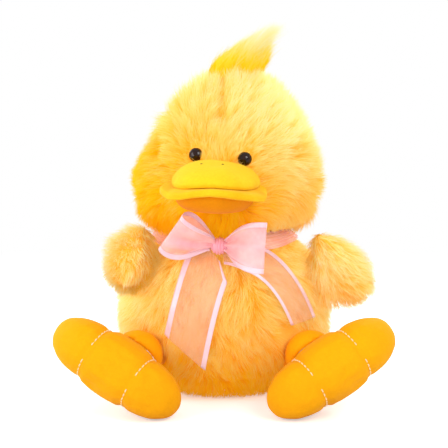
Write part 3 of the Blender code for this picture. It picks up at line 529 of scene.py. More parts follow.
def waves(points, wavelength, rng):
    """A smooth random field in about -1 to 1."""
    count = 7
    total = np.zeros(len(points))
    for _ in range(count):
        aim = rng.normal(size=3)
        aim *= 2 * math.pi / wavelength / np.linalg.norm(aim) * rng.uniform(0.7, 1.4)
        total += np.sin(points @ aim + rng.uniform(0, 2 * math.pi))
    return total / math.sqrt(count)


def unit(vectors):
    return vectors / np.maximum(np.linalg.norm(vectors, axis=-1, keepdims=True), 1e-9)


def flat_on(aim, normals):
    """The part of an aim that lies in the surface."""
    return aim - normals * (aim * normals).sum(axis=1)[:, None]


def smooth_step(value, low, high):
    share = np.clip((value - low) / (high - low), 0, 1)
    return share * share * (3 - 2 * share)


def apart_from(points, place):
    """Distance of each point to a place."""
    return np.linalg.norm(points - np.array(place), axis=1)


def distance_to(points, places):
    """Least distance of each point to a chain of places."""
    chain = [np.array(p) for p in places]
    best = np.full(len(points), np.inf)
    for a, b in zip(chain, chain[1:]):
        along = np.clip(((points - a) @ (b - a)) / max((b - a) @ (b - a), 1e-12), 0, 1)
        best = np.minimum(best, np.linalg.norm(points - a - along[:, None] * (b - a), axis=1))
    return best


def bell(distance, width):
    """1 at no distance, falling off softly over a width."""
    return np.exp(-((distance / width) ** 2))


def nearest_of(points, leaders):
    """For each point, the index of its nearest leader."""
    tree = KDTree(len(leaders))
    for i, place in enumerate(leaders):
        tree.insert(place, i)
    tree.balance()
    return np.array([tree.find(p)[1] for p in points])


def curves_from(roots, normals, flow, length, rise):
    """Strand curves that leave at an angle from the normal and lie down towards the flow."""
    steps = STRAND_POINTS - 1
    made = np.empty((len(roots), STRAND_POINTS, 3))
    made[:, 0] = roots
    for k in range(steps):
        angle = rise + BEND * (k + 0.5) / steps
        step = np.cos(angle)[:, None] * normals + np.sin(angle)[:, None] * flow
        made[:, k + 1] = made[:, k] + step * (length / steps)[:, None]
    return made


def turned(vectors, axes, angles):
    """Vectors turned about unit axes that they are square to."""
    return vectors * np.cos(angles)[:, None] + np.cross(axes, vectors) * np.sin(angles)[:, None]


def inside(points, tree):
    """Which points lie inside the closed mesh."""
    found = np.zeros(len(points), bool)
    for i, point in enumerate(points):
        place, normal, _, _ = tree.find_nearest(point)
        found[i] = (Vector(point) - place).dot(normal) < 0
    return found


def grown(
    skin, seed, flow, tone, keep=None, shorten=None, length=PILE_LENGTH, density=1.0, lift=0.0, fine=0.0
):
    """Strands in locks and wisps on a skin. The share of fine swirls in their flow is given by fine."""
    rng = np.random.default_rng(seed)
    corner = skin.points[skin.faces]
    area = np.linalg.norm(np.cross(corner[:, 1] - corner[:, 0], corner[:, 2] - corner[:, 0]), axis=1) / 2
    if keep is not None:
        area = area * keep(skin.tips[skin.faces].mean(axis=1))
    count = int(area.sum() * STRANDS_PER_SQUARE_METRE * density)
    chosen = rng.choice(len(area), count, p=area / area.sum())
    share = np.sort(rng.uniform(size=(count, 2)), axis=1)
    share = np.stack([share[:, 0], share[:, 1] - share[:, 0], 1 - share[:, 1]], axis=1)[:, :, None]
    faces = skin.faces[chosen]
    roots = (skin.points[faces] * share).sum(axis=1)
    tips = (skin.tips[faces] * share).sum(axis=1)
    normals = unit((skin.normals[faces] * share).sum(axis=1))
    depth = (skin.depth[faces] * share[:, :, 0]).sum(axis=1) / PILE_DEPTH
    if shorten is not None:
        depth = depth * shorten(tips)

    locks = rng.choice(count, max(count // STRANDS_IN_LOCK, 8), replace=False)
    wisps = rng.choice(count, max(count // STRANDS_IN_WISP, 20), replace=False)
    wisp_lock = nearest_of(roots[wisps], roots[locks])
    strand_wisp = nearest_of(roots, roots[wisps])

    swirl = waves(roots, SWIRL_WIDTH, rng) * SWIRL + waves(roots, FINE_SWIRL_WIDTH, rng) * fine
    base = turned(unit(flow(tips, normals)), normals, swirl)
    base = unit(flat_on(base, normals))

    def spun(index, kind):
        aim = turned(base[index], normals[index], rng.normal(0, STRAY_AIM[kind], len(index)))
        size = length * depth[index] * (1 + rng.normal(0, STRAY_LENGTH[kind], len(index)))
        return aim, size

    def raised(size, kind, high):
        return np.clip(rng.normal(RISE, STRAY_RISE[kind], size) - lift, -0.1, high)

    lock_aim, lock_size = spun(locks, "lock")
    wisp_aim, wisp_size = spun(wisps, "wisp")
    own_aim, own_size = spun(np.arange(count), "strand")
    wisp_aim = unit(wisp_aim + LOCK_AIM_PULL * lock_aim[wisp_lock])
    own_aim = unit(own_aim + WISP_AIM_PULL * wisp_aim[strand_wisp])
    lock_rise = raised(len(locks), "lock", 1.3)
    wisp_rise = raised(len(wisps), "wisp", 1.4)
    own_rise = raised(count, "strand", 1.4)
    lock = curves_from(roots[locks], normals[locks], lock_aim, lock_size, lock_rise)
    wisp = curves_from(roots[wisps], normals[wisps], wisp_aim, wisp_size, wisp_rise)
    own = curves_from(roots, normals, own_aim, own_size, own_rise)
    wisp += (lock[wisp_lock] - wisp) * (LOCK_PULL * ALONG**1.5)[None, :, None]
    own += (wisp[strand_wisp] - own) * (WISP_PULL * ALONG**1.3)[None, :, None]
    sway = rng.normal(0, TIP_SWAY, (count, 1, 3)) * (ALONG**2)[None, :, None]
    own += sway + np.array([0, 0, -TIP_SAG]) * (ALONG**2)[None, :, None]

    jitter = rng.normal(0, STRAY_TONE["lock"], len(locks))[wisp_lock][strand_wisp]
    wisp_jitter = rng.normal(0, STRAY_TONE["wisp"], len(wisps))[strand_wisp]
    jitter += wisp_jitter + rng.normal(0, STRAY_TONE["strand"], count)
    tones = np.clip(tone(tips, normals) + jitter, 0.01, 0.99)
    return Pile(rng, own, normals, tones, tips)


class Pile:
    """Strand curves, with the skin's normal, a tone and the skin's place for each."""

    def __init__(self, rng, curves, normals, tones, tips):
        self.rng, self.curves, self.normals, self.tones, self.tips = rng, curves, normals, tones, tips

    def only(self, wanted):
        """A pile of the wanted strands, which draws on the same random numbers."""
        strands = (self.curves, self.normals, self.tones, self.tips)
        return Pile(self.rng, *(values[wanted] for values in strands))

    def clear_of(self, *nodes):
        """The pile without the strands that enter a node."""
        wanted = np.ones(len(self.curves), bool)
        for name in nodes:
            low, high = (np.array(c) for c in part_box(name))
            points = self.curves[:, 1:].reshape(-1, 3)
            near = np.flatnonzero(((points > low) & (points < high)).all(axis=1))
            hit = near[inside(points[near], tree_of(name))]
            wanted[hit // (STRAND_POINTS - 1)] = False
        return self.only(wanted)

    def tuck_under(self, tree, low, high):
        """Presses the strands under the cloth that lies over them, seen from the front."""
        points = self.curves.reshape(-1, 3)
        near = np.flatnonzero(((points > low) & (points < high)).all(axis=1))
        for i in near:
            x, y, z = points[i]
            hit = tree.ray_cast(Vector((x, TUCK_FROM, z)), Vector((0, -1, 0)))[0]
            if hit and hit.y + TUCK_GAP > y:
                points[i, 1] = hit.y + TUCK_GAP
        self.curves = points.reshape(self.curves.shape)

    def mesh(self, name, finish):
        """Flat tapering strands, shaded as round ones that stand on the skin."""
        count, points = self.curves.shape[:2]
        tangent = unit(np.gradient(self.curves, axis=1))
        flat = unit(self.normals + self.rng.normal(0, 0.35, (count, 3)))
        side = unit(np.cross(tangent, flat[:, None, :]))
        half = STRAND_WIDTH / 2 * (1 - ALONG**1.6) * self.rng.uniform(0.7, 1.3, (count, 1))
        reach = side * half[:, :, None]
        left = self.curves[:, :-1] - reach[:, :-1]
        right = self.curves[:, :-1] + reach[:, :-1]
        pairs = np.stack([left, right], axis=2).reshape(count, -1, 3)
        verts = np.concatenate([pairs, self.curves[:, -1:]], axis=1)
        each = verts.shape[1]
        quads = points - 2
        corners = []
        for k in range(quads):
            corners += [2 * k, 2 * k + 1, 2 * k + 3, 2 * k + 2]
        corners += [2 * quads, 2 * quads + 1, 2 * quads + 2]
        offset = (np.arange(count) * each)[:, None]
        order = (offset + np.array(corners)[None, :]).ravel()
        mesh = mesh_of(name, verts.reshape(-1, 3), order, np.tile([4] * quads + [3], count))
        tipward = ALONG[None, :, None]
        up = self.normals[:, None, :] * (0.8 - 0.40 * tipward) + tangent * (0.15 + 0.50 * tipward)
        bow = side[:, :-1] * STRAND_ROUNDNESS
        fan = np.stack([up[:, :-1] - bow, up[:, :-1] + bow], axis=2)
        shade = np.concatenate([fan.reshape(count, -1, 3), up[:, -1:]], axis=1)
        uv = np.empty((count, each, 2))
        uv[:, :, 0] = self.tones[:, None]
        uv[:, :, 1] = np.append(np.repeat(ALONG[:-1], 2), 1)[None, :] * 0.98 + 0.01
        layer = mesh.uv_layers.new(name="OFBake")
        layer.data.foreach_set("uv", uv.reshape(-1, 2)[order].astype(np.float32).ravel())
        mesh.normals_split_custom_set_from_vertices(unit(shade).reshape(-1, 3).tolist())
        mesh.materials.append(LOOKS[finish])
        return mesh

    def pieces(self, name, finish, skin_piece, parts=1):
        """One object for each part of the pile, front to back, on its skin."""
        order = np.argsort(self.tips[:, 1], kind="stable")
        for part, chosen in enumerate(np.array_split(order, parts)):
            made = linked(f"{name}_{part + 1}", self.only(chosen).mesh(name, finish))
            made.parent = skin_piece


# Ribbon pieces.


def strip(name, rows, replaced, satin=True, cloth="organza"):
    """A ribbon from rows of points across it, with satin edges."""
    grid = np.array([[tuple(p) for p in row] for row in rows])
    count, across = grid.shape[:2]
    faces = [
        (r * across + c, r * across + c + 1, (r + 1) * across + c + 1, (r + 1) * across + c)
        for r in range(count - 1)
        for c in range(across - 1)
    ]
    mesh = mesh_of(name, grid.reshape(-1, 3), np.array(faces).ravel(), np.full(len(faces), 4))
    mesh.materials.append(LOOKS[cloth])
    if satin:
        mesh.materials.append(LOOKS["satin"])
        middle = np.abs((np.arange(across - 1) + 0.5) / (across - 1) * 2 - 1)
        edges = (middle > SATIN_SHARE).astype(np.int32)
        mesh.polygons.foreach_set("material_index", np.tile(edges, count - 1))
    layer = mesh.uv_layers.new(name="cloth")
    place = np.stack(np.meshgrid(np.linspace(0, 1, across), np.linspace(0, 1, count)), axis=2).reshape(-1, 2)
    layer.data.foreach_set("uv", place[np.array(faces).ravel()].astype(np.float32).ravel())
    made = piece(name, mesh, None, "body", replaced)
    thick = made.modifiers.new("cloth", "SOLIDIFY")
    thick.thickness = RIBBON_CLOTH
    thick.offset = 0
    tree = BVHTree.FromPolygons([Vector(p) for p in grid.reshape(-1, 3)], faces)
    return made, tree


LOOP_YAW = {"left": math.radians(37), "right": math.radians(26)}
LOOP_LIFT = {"left": math.radians(4), "right": math.radians(18)}
LOOP_ROLL = {"left": math.radians(-12), "right": math.radians(38)}
LOOP_LENGTH = 0.0350
LOOP_OPENING = 0.0140
LOOP_PINCH = 0.0009
LOOP_GATHERED = 0.26
LOOP_PLEAT = 0.0019
LOOP_FOLD = 0.0010
LOOP_CURL = 0.0016
KNOT_WIDTH = 0.0120
KNOT_HEIGHT = 0.0140
KNOT_HALF_DEPTH = 0.0050


def frame_of(x_axis, z_axis, place):
    """A frame at a place with the given Z, and X as near to the given one as it can be."""
    z_axis = z_axis.normalized()
    y_axis = z_axis.cross(x_axis).normalized()
    x_axis = y_axis.cross(z_axis)
    return Matrix.Translation(place) @ Matrix((x_axis, y_axis, z_axis)).transposed().to_4x4()


def loop_rows(side):
    """A bow loop out from the knot and back, gathered into pleats at the knot."""
    sign = SIDES[side]
    level = Vector((sign * math.cos(LOOP_YAW[side]), -math.sin(LOOP_YAW[side]), 0))
    outward = level * math.cos(LOOP_LIFT[side]) + Vector((0, 0, 1)) * math.sin(LOOP_LIFT[side])
    tall = Matrix.Rotation(sign * LOOP_ROLL[side], 3, outward) @ Vector((0, 0, 1))
    start = KNOT + outward * (KNOT_WIDTH / 2 - 0.0003)
    local = frame_of(tall, outward, start)
    rows = []
    spread = LOOP_OPENING / 2 - LOOP_PINCH
    for turn in np.linspace(0.02, 2 * math.pi - 0.02, 57):
        out = (1 - math.cos(turn)) / 2
        opening = (LOOP_PINCH + spread * math.sin(min(out / 0.83, 1) * math.pi / 2)) * math.sin(turn)
        gather = math.sin(out * math.pi / 2)
        width = RIBBON_WIDTH * (LOOP_GATHERED + (1 - LOOP_GATHERED) * gather)
        row = []
        for share in np.linspace(-1, 1, 41):
            pleat = LOOP_PLEAT * math.sin(share * 2.6 * math.pi + 0.6) * (1 - out) ** 1.3
            fold = LOOP_FOLD * math.cos(share * 2.3 * math.pi + sign) * out * (1 - out) * 4
            curl = LOOP_CURL * share**2 * math.sin(turn) * out
            row.append(local @ Vector((width / 2 * share, opening + pleat + fold + curl, LOOP_LENGTH * out)))
        rows.append(row)
    return rows


# Ribbon tails: two points of each one's middle line, as X and Z from its start, and its form.
TAIL_VIA = {"left": (0.0400, 0.0040), "right": (-0.0110, -0.0110)}
TAIL_END = {"left": (0.0590, -0.0500), "right": (-0.0220, -0.0700)}
TAIL_WIDTH_SHARE = {"left": 0.50, "right": 0.92}
TAIL_SLANT = {"left": 0.0020, "right": 0.0100}
TAIL_FANNED = {"left": 0.25, "right": 0.24}
TAIL_GATHERED = 0.28
TAIL_WAVE = 0.0012
TAIL_PLEAT = 0.0011
TAIL_GAP = 0.0012


def tail_rows(side, body_tree):
    """A free end of the ribbon, which lies on the chest and ends in a slanted cut."""
    start = Vector((KNOT.x + SIDES[side] * KNOT_WIDTH / 4, 0, KNOT.z - KNOT_HEIGHT / 2))
    via = start + Vector((TAIL_VIA[side][0], 0, TAIL_VIA[side][1]))
    end = start + Vector((TAIL_END[side][0], 0, TAIL_END[side][1]))
    rows = []
    for t in np.linspace(0, 1, 61):
        fanned = min(t / TAIL_FANNED[side], 1)
        width = RIBBON_WIDTH * (TAIL_GATHERED + (TAIL_WIDTH_SHARE[side] - TAIL_GATHERED) * fanned)
        middle = start * (1 - t) ** 2 + via * (2 * t * (1 - t)) + end * t**2
        down = ((via - start) * (1 - t) + (end - via) * t).normalized()
        across = Vector((-down.z, 0, down.x))
        row = []
        for share in np.linspace(-1, 1, 37):
            point = middle + across * (width / 2 * share) + down * (TAIL_SLANT[side] * share * t)
            height = min(point.z, BAND_HEIGHT - 0.006)
            hit = body_tree.ray_cast(Vector((point.x, -0.3, height)), Vector((0, 1, 0)))[0]
            front = hit.y if hit else -0.05
            wave = TAIL_WAVE * (1 + math.cos(share * 3 * math.pi)) / 2 * t
            pleat = TAIL_PLEAT * (1 + math.sin(share * 3.2 * math.pi)) * max(0, 1 - t / 0.35)
            drape = front - TAIL_GAP - wave
            near = min(t / 0.20, 1)
            point.y = drape * near + min(KNOT.y, drape) * (1 - near) - pleat
            row.append(point)
        rows.append(row)
    return rows


def knot_rows():
    """The knot: cloth drawn round into a bundle with pleats along it."""
    rows = []
    for turn in np.linspace(0, 2 * math.pi, 49):
        row = []
        for share in np.linspace(-1, 1, 25):
            swell = math.sqrt(max(1 - (share * 0.93) ** 2, 0))
            pleat = 1 + 0.10 * math.sin(share * 5.5 * math.pi + 0.5 * math.sin(turn))
            radius = swell * pleat
            around = turn + share * 0.35
            across = share * KNOT_WIDTH / 2
            ahead = -KNOT_HALF_DEPTH * radius * math.sin(around)
            above = KNOT_HEIGHT / 2 * 0.9 * radius * math.cos(around)
            row.append(KNOT + Vector((across, ahead, above)))
        rows.append(row)
    return rows


BAND_HALF_WIDTH = 0.0046
BAND_PLEAT = 0.0011
BAND_GAP = 0.0018


def band_rows(body_tree):
    """The band round the neck, gathered and a little twisted, open behind the knot."""
    middle = middle_of("neck_ribbon")
    rows = []
    open_angle = 0.11
    for turn in np.linspace(-math.pi / 2 + open_angle, 1.5 * math.pi - open_angle, 121):
        aim = Vector((math.cos(turn), math.sin(turn), 0))
        row = []
        for share in np.linspace(-1, 1, 45):
            height = BAND_HEIGHT + share * BAND_HALF_WIDTH * (1 + 0.18 * math.sin(5 * turn))
            hit = body_tree.ray_cast(Vector((middle.x, middle.y, height)) + aim * 0.2, -aim)[0]
            pleat = BAND_PLEAT * math.sin(share * 5 * math.pi + 0.9 * math.sin(3 * turn))
            row.append(hit + aim * (BAND_GAP + pleat))
        rows.append(row)
    return rows


# Soft fabric pieces.


def soft_copy(name, nodes, voxel, rounds):
    """A closed, smoothed and evenly meshed copy of some nodes."""
    made = linked(name, mesh_from(name, *joined_polygons(nodes)))
    remesh = made.modifiers.new("even", "REMESH")
    remesh.mode = "VOXEL"
    remesh.voxel_size = voxel
    smooth = made.modifiers.new("smooth", "SMOOTH")
    smooth.factor = 0.5
    smooth.iterations = rounds
    return baked(made)


def baked(made):
    """The object with its modifiers applied."""
    graph = bpy.context.evaluated_depsgraph_get()
    mesh = bpy.data.meshes.new_from_object(made.evaluated_get(graph))
    old = made.data
    made.modifiers.clear()
    made.data = mesh
    bpy.data.meshes.remove(old)
    mesh.shade_smooth()
    return made


def finish_piece(made, finish, body, replaced):
    """Gives a finished mesh its look, sets it on its body and hides the nodes it replaces."""
    made.data.materials.clear()
    made.data.materials.append(LOOKS[finish])
    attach(made, body)
    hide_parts(*replaced)
    return made


def tree_from(made):
    mesh = made.data
    faces = [tuple(p.vertices) for p in mesh.polygons]
    return BVHTree.FromPolygons([v.co.copy() for v in mesh.vertices], faces)


STITCH_RINGS = 6
STITCH_SIDES = 6
# For each kind of thread its length, the gap to the next one, its radius and its look.
CHANNEL_THREAD = (0.0034, 0.0008, 0.00050, "thread")
SEAM_THREAD = (0.0060, -0.0008, 0.00040, "foot")
NOSTRIL_THREAD = (0.0024, 0.0010, 0.00030, "nostril")


def stitches(name, line, tree, body, thread):
    """Short threads laid along a line on a surface."""
    length, gap, radius, finish = thread
    points, faces = [], []
    places = [Vector(p) for p in line]
    total = sum((b - a).length for a, b in zip(places, places[1:]))

    def at(distance):
        for a, b in zip(places, places[1:]):
            step = (b - a).length
            if distance <= step:
                return a.lerp(b, distance / max(step, 1e-9))
            distance -= step
        return places[-1]

    start = 0.0
    while start < total:
        ring_sets = []
        for share in np.linspace(0, 1, STITCH_RINGS):
            here = at(min(start + length * share, total))
            place, normal, _, _ = tree.find_nearest(here)
            ahead = at(min(start + length * share + 0.0004, total))
            tangent = (ahead - here).normalized() if (ahead - here).length > 1e-7 else tangent
            side = tangent.cross(normal).normalized()
            arch = math.sin(share * math.pi)
            middle = place + normal * (radius * (1.3 * arch - 0.5))
            ring = []
            for corner in range(STITCH_SIDES):
                angle = 2 * math.pi * corner / STITCH_SIDES
                size = radius * (0.5 + 0.5 * arch)
                ring.append(middle + side * (size * math.cos(angle)) + normal * (size * math.sin(angle)))
            ring_sets.append(ring)
        base = len(points)
        for ring in ring_sets:
            points += ring
        for k in range(STITCH_RINGS - 1):
            foot = base + k * STITCH_SIDES
            for c in range(STITCH_SIDES):
                d = (c + 1) % STITCH_SIDES
                faces.append((foot + c, foot + d, foot + STITCH_SIDES + d, foot + STITCH_SIDES + c))
        last = base + (STITCH_RINGS - 1) * STITCH_SIDES
        faces.append(tuple(base + c for c in reversed(range(STITCH_SIDES))))
        faces.append(tuple(last + c for c in range(STITCH_SIDES)))
        start += length + gap
    return piece(name, mesh_from(name, points, faces), finish, body)


# The duck's parts.

# Round these places the skin is drawn smoothly across, because the solids have nests or shanks there.
EYE_GAP = 0.0175
HIP_GAP = 0.026
SHOULDER_GAP = 0.036

SEAM_WIDTHS = (0.006, 0.007, 0.010)
EYE_BARE = 0.0066
EYE_CLEAR = 0.0047
CROSSING_KEPT = 0.20


def left_and_top(points):
    """How far a place lies to the left in the picture and how high on the head, both 0 to 1."""
    return smooth_step(-points[:, 0], 0.0, 0.05), smooth_step(points[:, 2], 0.185, 0.215)


def make_head():
    """Head: pile that lies away from the bill, deep gold low on the left and paler to the top right, partly
    painted shade and painted light.
    """

    def depth(points):
        base = PILE_DEPTH * (0.40 + 0.60 * smooth_step(points[:, 2] - NECK_HEIGHT, 0.004, 0.022))
        left, top = left_and_top(points)
        base = base * (1 - 0.22 * (left * (1 - top)))
        for eye in EYES.values():
            base = base * (0.80 + 0.20 * smooth_step(apart_from(points, eye), 0.008, 0.018))
        return base

    gaps = [(eye, EYE_GAP) for eye in EYES.values()]
    skin = Skin(("head_cover", "head_stuffing"), depth, gaps)
    made = piece("head_skin", skin.mesh("head_skin"), "backing", "head", ("head_cover",))
    low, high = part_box("upper_bill_cover")
    bill = np.array([(low[0] + high[0]) / 2, high[1] - 0.012, (low[2] + high[2]) / 2 - 0.004])
    seams = [[spot(pixel, skin.tree) for pixel in seam] for seam in SEAM_PIXELS]
    cheek = spot(CHEEK_PIXEL, skin.tree)

    def flow(points, normals):
        away = unit(points - bill)
        back = smooth_step(points[:, 1], -0.01, 0.05)[:, None]
        aim = away * (1 - back) + np.array([0, 0.1, -1.0]) * back
        low = 1 - smooth_step(points[:, 2] - NECK_HEIGHT, 0.004, 0.030)[:, None]
        aim = aim * (1 - low) + np.array([0, 0, -1.0]) * low
        for eye in EYES.values():
            near = bell(apart_from(points, eye), 0.010)[:, None]
            aim = aim * (1 - near) + unit(points - np.array(eye)) * near * 1.2
        return flat_on(aim, normals)

    def keep(points):
        wanted = 1 - 0.95 * (points[:, 2] < NECK_HEIGHT + 0.0005)
        for eye in EYES.values():
            wanted = wanted * (apart_from(points, eye) > EYE_BARE)
        return wanted

    def shorten(points):
        bare = smooth_step(points[:, 0], 0.012, 0.022) * smooth_step(-points[:, 1], 0.0, 0.02)
        size = 1 + (0.9 - 1.5 * bare) * (1 - smooth_step(points[:, 2] - NECK_HEIGHT, 0.0, 0.022))
        for eye in EYES.values():
            size *= 0.45 + 0.55 * smooth_step(apart_from(points, eye), 0.008, 0.020)
        for seam, wide in zip(seams, SEAM_WIDTHS):
            size *= 0.42 + 0.58 * smooth_step(distance_to(points, seam), 0.001, wide)
        left, top = left_and_top(points)
        size *= 1 + left * (0.34 * top - 0.10 * (1 - top))
        return size * (1 + 0.15 * bell(apart_from(points, cheek), 0.014))

    # Painted light and shade over the pile's own tone: paler to the top and to the right, where the light
    # falls, deeper on the low left cheek, under the bill and low on the right.
    def tone(points, normals):
        rise = smooth_step(points[:, 2], 0.150, 0.235)
        side = smooth_step(points[:, 0], -0.06, 0.06)
        cheek_shade = smooth_step(-points[:, 0], 0.02, 0.065) * (1 - rise)
        throat_shade = bell(apart_from(points, bill + np.array([0, 0.004, -0.024])), 0.030)
        low = 1 - smooth_step(points[:, 2], 0.150, 0.200)
        value = 0.10 + 0.46 * rise + 0.50 * side + 0.24 * rise * side
        value += -0.16 * cheek_shade - 0.40 * throat_shade - 0.16 * low * side
        # Painted shade: darker in the partings along the seams.
        for seam in seams:
            value -= 0.55 * (1 - smooth_step(distance_to(points, seam), 0.0, 0.006))
        return value

    pile = grown(skin, 11, flow, tone, keep, shorten)
    pile = pile.clear_of("upper_bill_cover", "upper_bill_stuffing", "lower_bill_cover", "lower_bill_stuffing")
    pile = pile.clear_of("eye_left", "eye_right")
    middle = np.array(skin.centre)
    for eye in EYES.values():
        axis = unit(np.array(eye) - middle)
        apart = pile.curves - np.array(eye)
        ahead = apart @ axis
        off = np.linalg.norm(apart - ahead[:, :, None] * axis, axis=2)
        crossing = ((off < EYE_CLEAR) & (ahead > -0.002)).any(axis=1)
        pile = pile.only(~crossing | (pile.rng.uniform(size=len(crossing)) < CROSSING_KEPT))
    return skin, made, pile


HIP_BARE = 0.020
SEAT_GAP = 0.0003


def make_body():
    """Body: pile that hangs down, short under the neck band and bare where the legs are sewn on."""

    hips = [joint_place(f"leg_{side}_lift") for side in SIDES]
    shoulders = [np.array(joint_place(f"wing_{side}_swing")) for side in SIDES]
    gaps = [(place, HIP_GAP) for place in hips] + [(place, SHOULDER_GAP) for place in shoulders]
    low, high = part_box("tail_cover")
    tail_foot = Vector((0, low[1], (low[2] + high[2]) / 2))

    def depth(points):
        band = np.abs(points[:, 2] - BAND_HEIGHT)
        top = smooth_step(points[:, 2], 0.106, 0.117)
        low = 0.50 + 0.36 * smooth_step(points[:, 2], 0.006, 0.065)
        return PILE_DEPTH * low * (1 - top * (0.55 + 0.30 * (1 - smooth_step(band, 0.004, 0.012))))

    skin = Skin(("body_cover", "body_stuffing"), depth, gaps)
    made = piece("body_skin", skin.mesh("body_skin"), "backing", "body", ("body_cover",))

    def flow(points, normals):
        aim = np.zeros_like(points)
        aim[:, 2] = -1
        aim[:, 0] = points[:, 0] * 6
        for shoulder in shoulders:
            near = bell(apart_from(points, shoulder + [0, 0, 0.010]), 0.018)[:, None]
            aim += near * np.array([2.4 * np.sign(shoulder[0]), 0, 1.2])
        return flat_on(aim, normals)

    def keep(points):
        wanted = (points[:, 2] < NECK_HEIGHT - 0.004) & (points[:, 2] > 0.0015)
        for hip in hips:
            wanted &= apart_from(points, hip) > HIP_BARE
        return wanted.astype(float)

    def shorten(points):
        size = np.full(len(points), 0.97)
        for shoulder in shoulders:
            size += 0.70 * bell(apart_from(points, shoulder + [0, 0, 0.014]), 0.020)
        return size + 0.5 * bell(apart_from(points, tail_foot), 0.016)

    # Painted shade: deeper by the hips, where the legs meet the body. Deeper low down: partly painted shade,
    # partly the pile's own deeper colour.
    def tone(points, normals):
        rise = smooth_step(points[:, 2], 0.0, 0.085)
        side = smooth_step(np.abs(points[:, 0]), 0.03, 0.075)
        value = -0.04 + 0.58 * rise + 0.34 * side * smooth_step(points[:, 2], 0.02, 0.06)
        for hip in hips:
            value -= 0.22 * bell(apart_from(points, hip), 0.022)
        return value

    pile = grown(skin, 23, flow, tone, keep, shorten, fine=0.50)
    for side in SIDES:
        pile = pile.clear_of(*(f"{part}_{side}_{layer}" for part in ("leg", "foot") for layer in LAYERS))
    # The pile under the seat is pressed flat by the floor.
    pile.curves[:, :, 2] = np.maximum(pile.curves[:, :, 2], SEAT_GAP)
    return skin, made, pile


WING_SEEDS = {"left": 31, "right": 37}
WING_RAISED = {"left": (-0.0096, 0, 0.0158), "right": (0.008, 0, 0.0055)}
WING_LENGTH = 0.0215


def make_wing(side):
    """A wing: a padded cover whose pile runs out from the shoulder to its tip."""
    nodes = tuple(f"wing_{side}_{layer}" for layer in LAYERS)
    shoulder = np.array(joint_place(f"wing_{side}_swing"))

    def depth(points):
        far = apart_from(points, shoulder)
        return 0.0010 + 0.0056 * smooth_step(far, 0.012, 0.026) + 0.0040 * smooth_step(far, 0.030, 0.042)

    def fuller(points, normals):
        """Raises the top of the wing near its shoulder."""
        near = bell(points[:, 0] - shoulder[0], 0.017) * smooth_step(normals[:, 2], -0.2, 0.5)
        return near[:, None] * np.array(WING_RAISED[side])

    skin = Skin(nodes, depth, detail=4, rounds=3, fuller=fuller)
    tip = skin.tips[np.argmax(apart_from(skin.tips, shoulder))]
    name = f"wing_{side}_skin"
    made = piece(name, skin.mesh(name), "backing", f"wing_{side}", nodes[:1])

    def flow(points, normals):
        aim = unit(tip - shoulder) + 0.25 * unit(points - skin.centre)
        aim[:, 2] -= 0.10 + 0.45 * smooth_step(normals[:, 2], -0.2, 0.6)
        return flat_on(aim, normals)

    # Painted shade: deeper on the side that faces the body. Paler higher up: partly painted light from above.
    def tone(points, normals):
        low, high = (c[2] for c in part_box(nodes[0]))
        inner_shade = smooth_step(-normals[:, 0] * SIDES[side] + normals[:, 1], 0.0, 0.8)
        return 0.56 + 0.36 * smooth_step((points[:, 2] - low) / (high - low), 0.05, 0.95) - 0.55 * inner_shade

    def shorten(points):
        far = apart_from(points, shoulder)
        rise = points[:, 2] - shoulder[2]
        above = smooth_step(rise, 0.0, 0.02) * (1 - smooth_step(far, 0.02, 0.04))
        below = smooth_step(-rise, 0.0, 0.015) * smooth_step(far, 0.02, 0.035)
        return (0.0052 + 0.0030 * above - 0.0026 * below) / depth(points)

    pile = grown(
        skin, WING_SEEDS[side], flow, tone, shorten=shorten, length=WING_LENGTH, density=0.9, lift=0.02
    )
    pile.pieces(f"wing_{side}_pile", "wing", made)


TAIL_PILE_LENGTH = 0.0160


def make_tail():
    """The short tail on the back, with pile to its point."""
    nodes = ("tail_cover", "tail_stuffing")
    low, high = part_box("tail_cover")
    foot = np.array([0, low[1] + 0.006, (low[2] + high[2]) / 2])

    def depth(points):
        return 0.0020 + 0.0070 * smooth_step(apart_from(points, foot), 0.008, 0.020)

    skin = Skin(nodes, depth, detail=4, rounds=3)
    made = piece("tail_skin", skin.mesh("tail_skin"), "backing", "body", nodes[:1])

    def flow(points, normals):
        return flat_on(np.zeros_like(points) + np.array([0, 0.85, 0.5]), normals)

    # Painted shade: deeper at the root, where the tail meets the body. Painted light: paler where the pile
    # faces up.
    def tone(points, normals):
        far = smooth_step(apart_from(points, foot), 0.010, 0.028)
        return 0.08 + 0.42 * far + 0.12 * smooth_step(normals[:, 2], -0.5, 0.8)

    def shorten(points):
        return 0.0075 / depth(points)

    pile = grown(skin, 41, flow, tone, shorten=shorten, length=TAIL_PILE_LENGTH, density=1.6)
    pile.pieces("tail_pile", "wing", made)


CREST_HEIGHT = 0.040
CREST_LEAN = 0.033
CREST_HALF_WIDTH = 0.0205
CREST_HALF_DEPTH = 0.0105
CREST_STRANDS = 9000
CREST_WISPS = 260
CREST_LEVELS = (-0.1, 0.1, 0.3, 0.5, 0.68, 0.84, 0.95, 1.06)
CREST_SIZES = (0.9, 1, 0.95, 0.74, 0.46, 0.25, 0.16, 0.11)


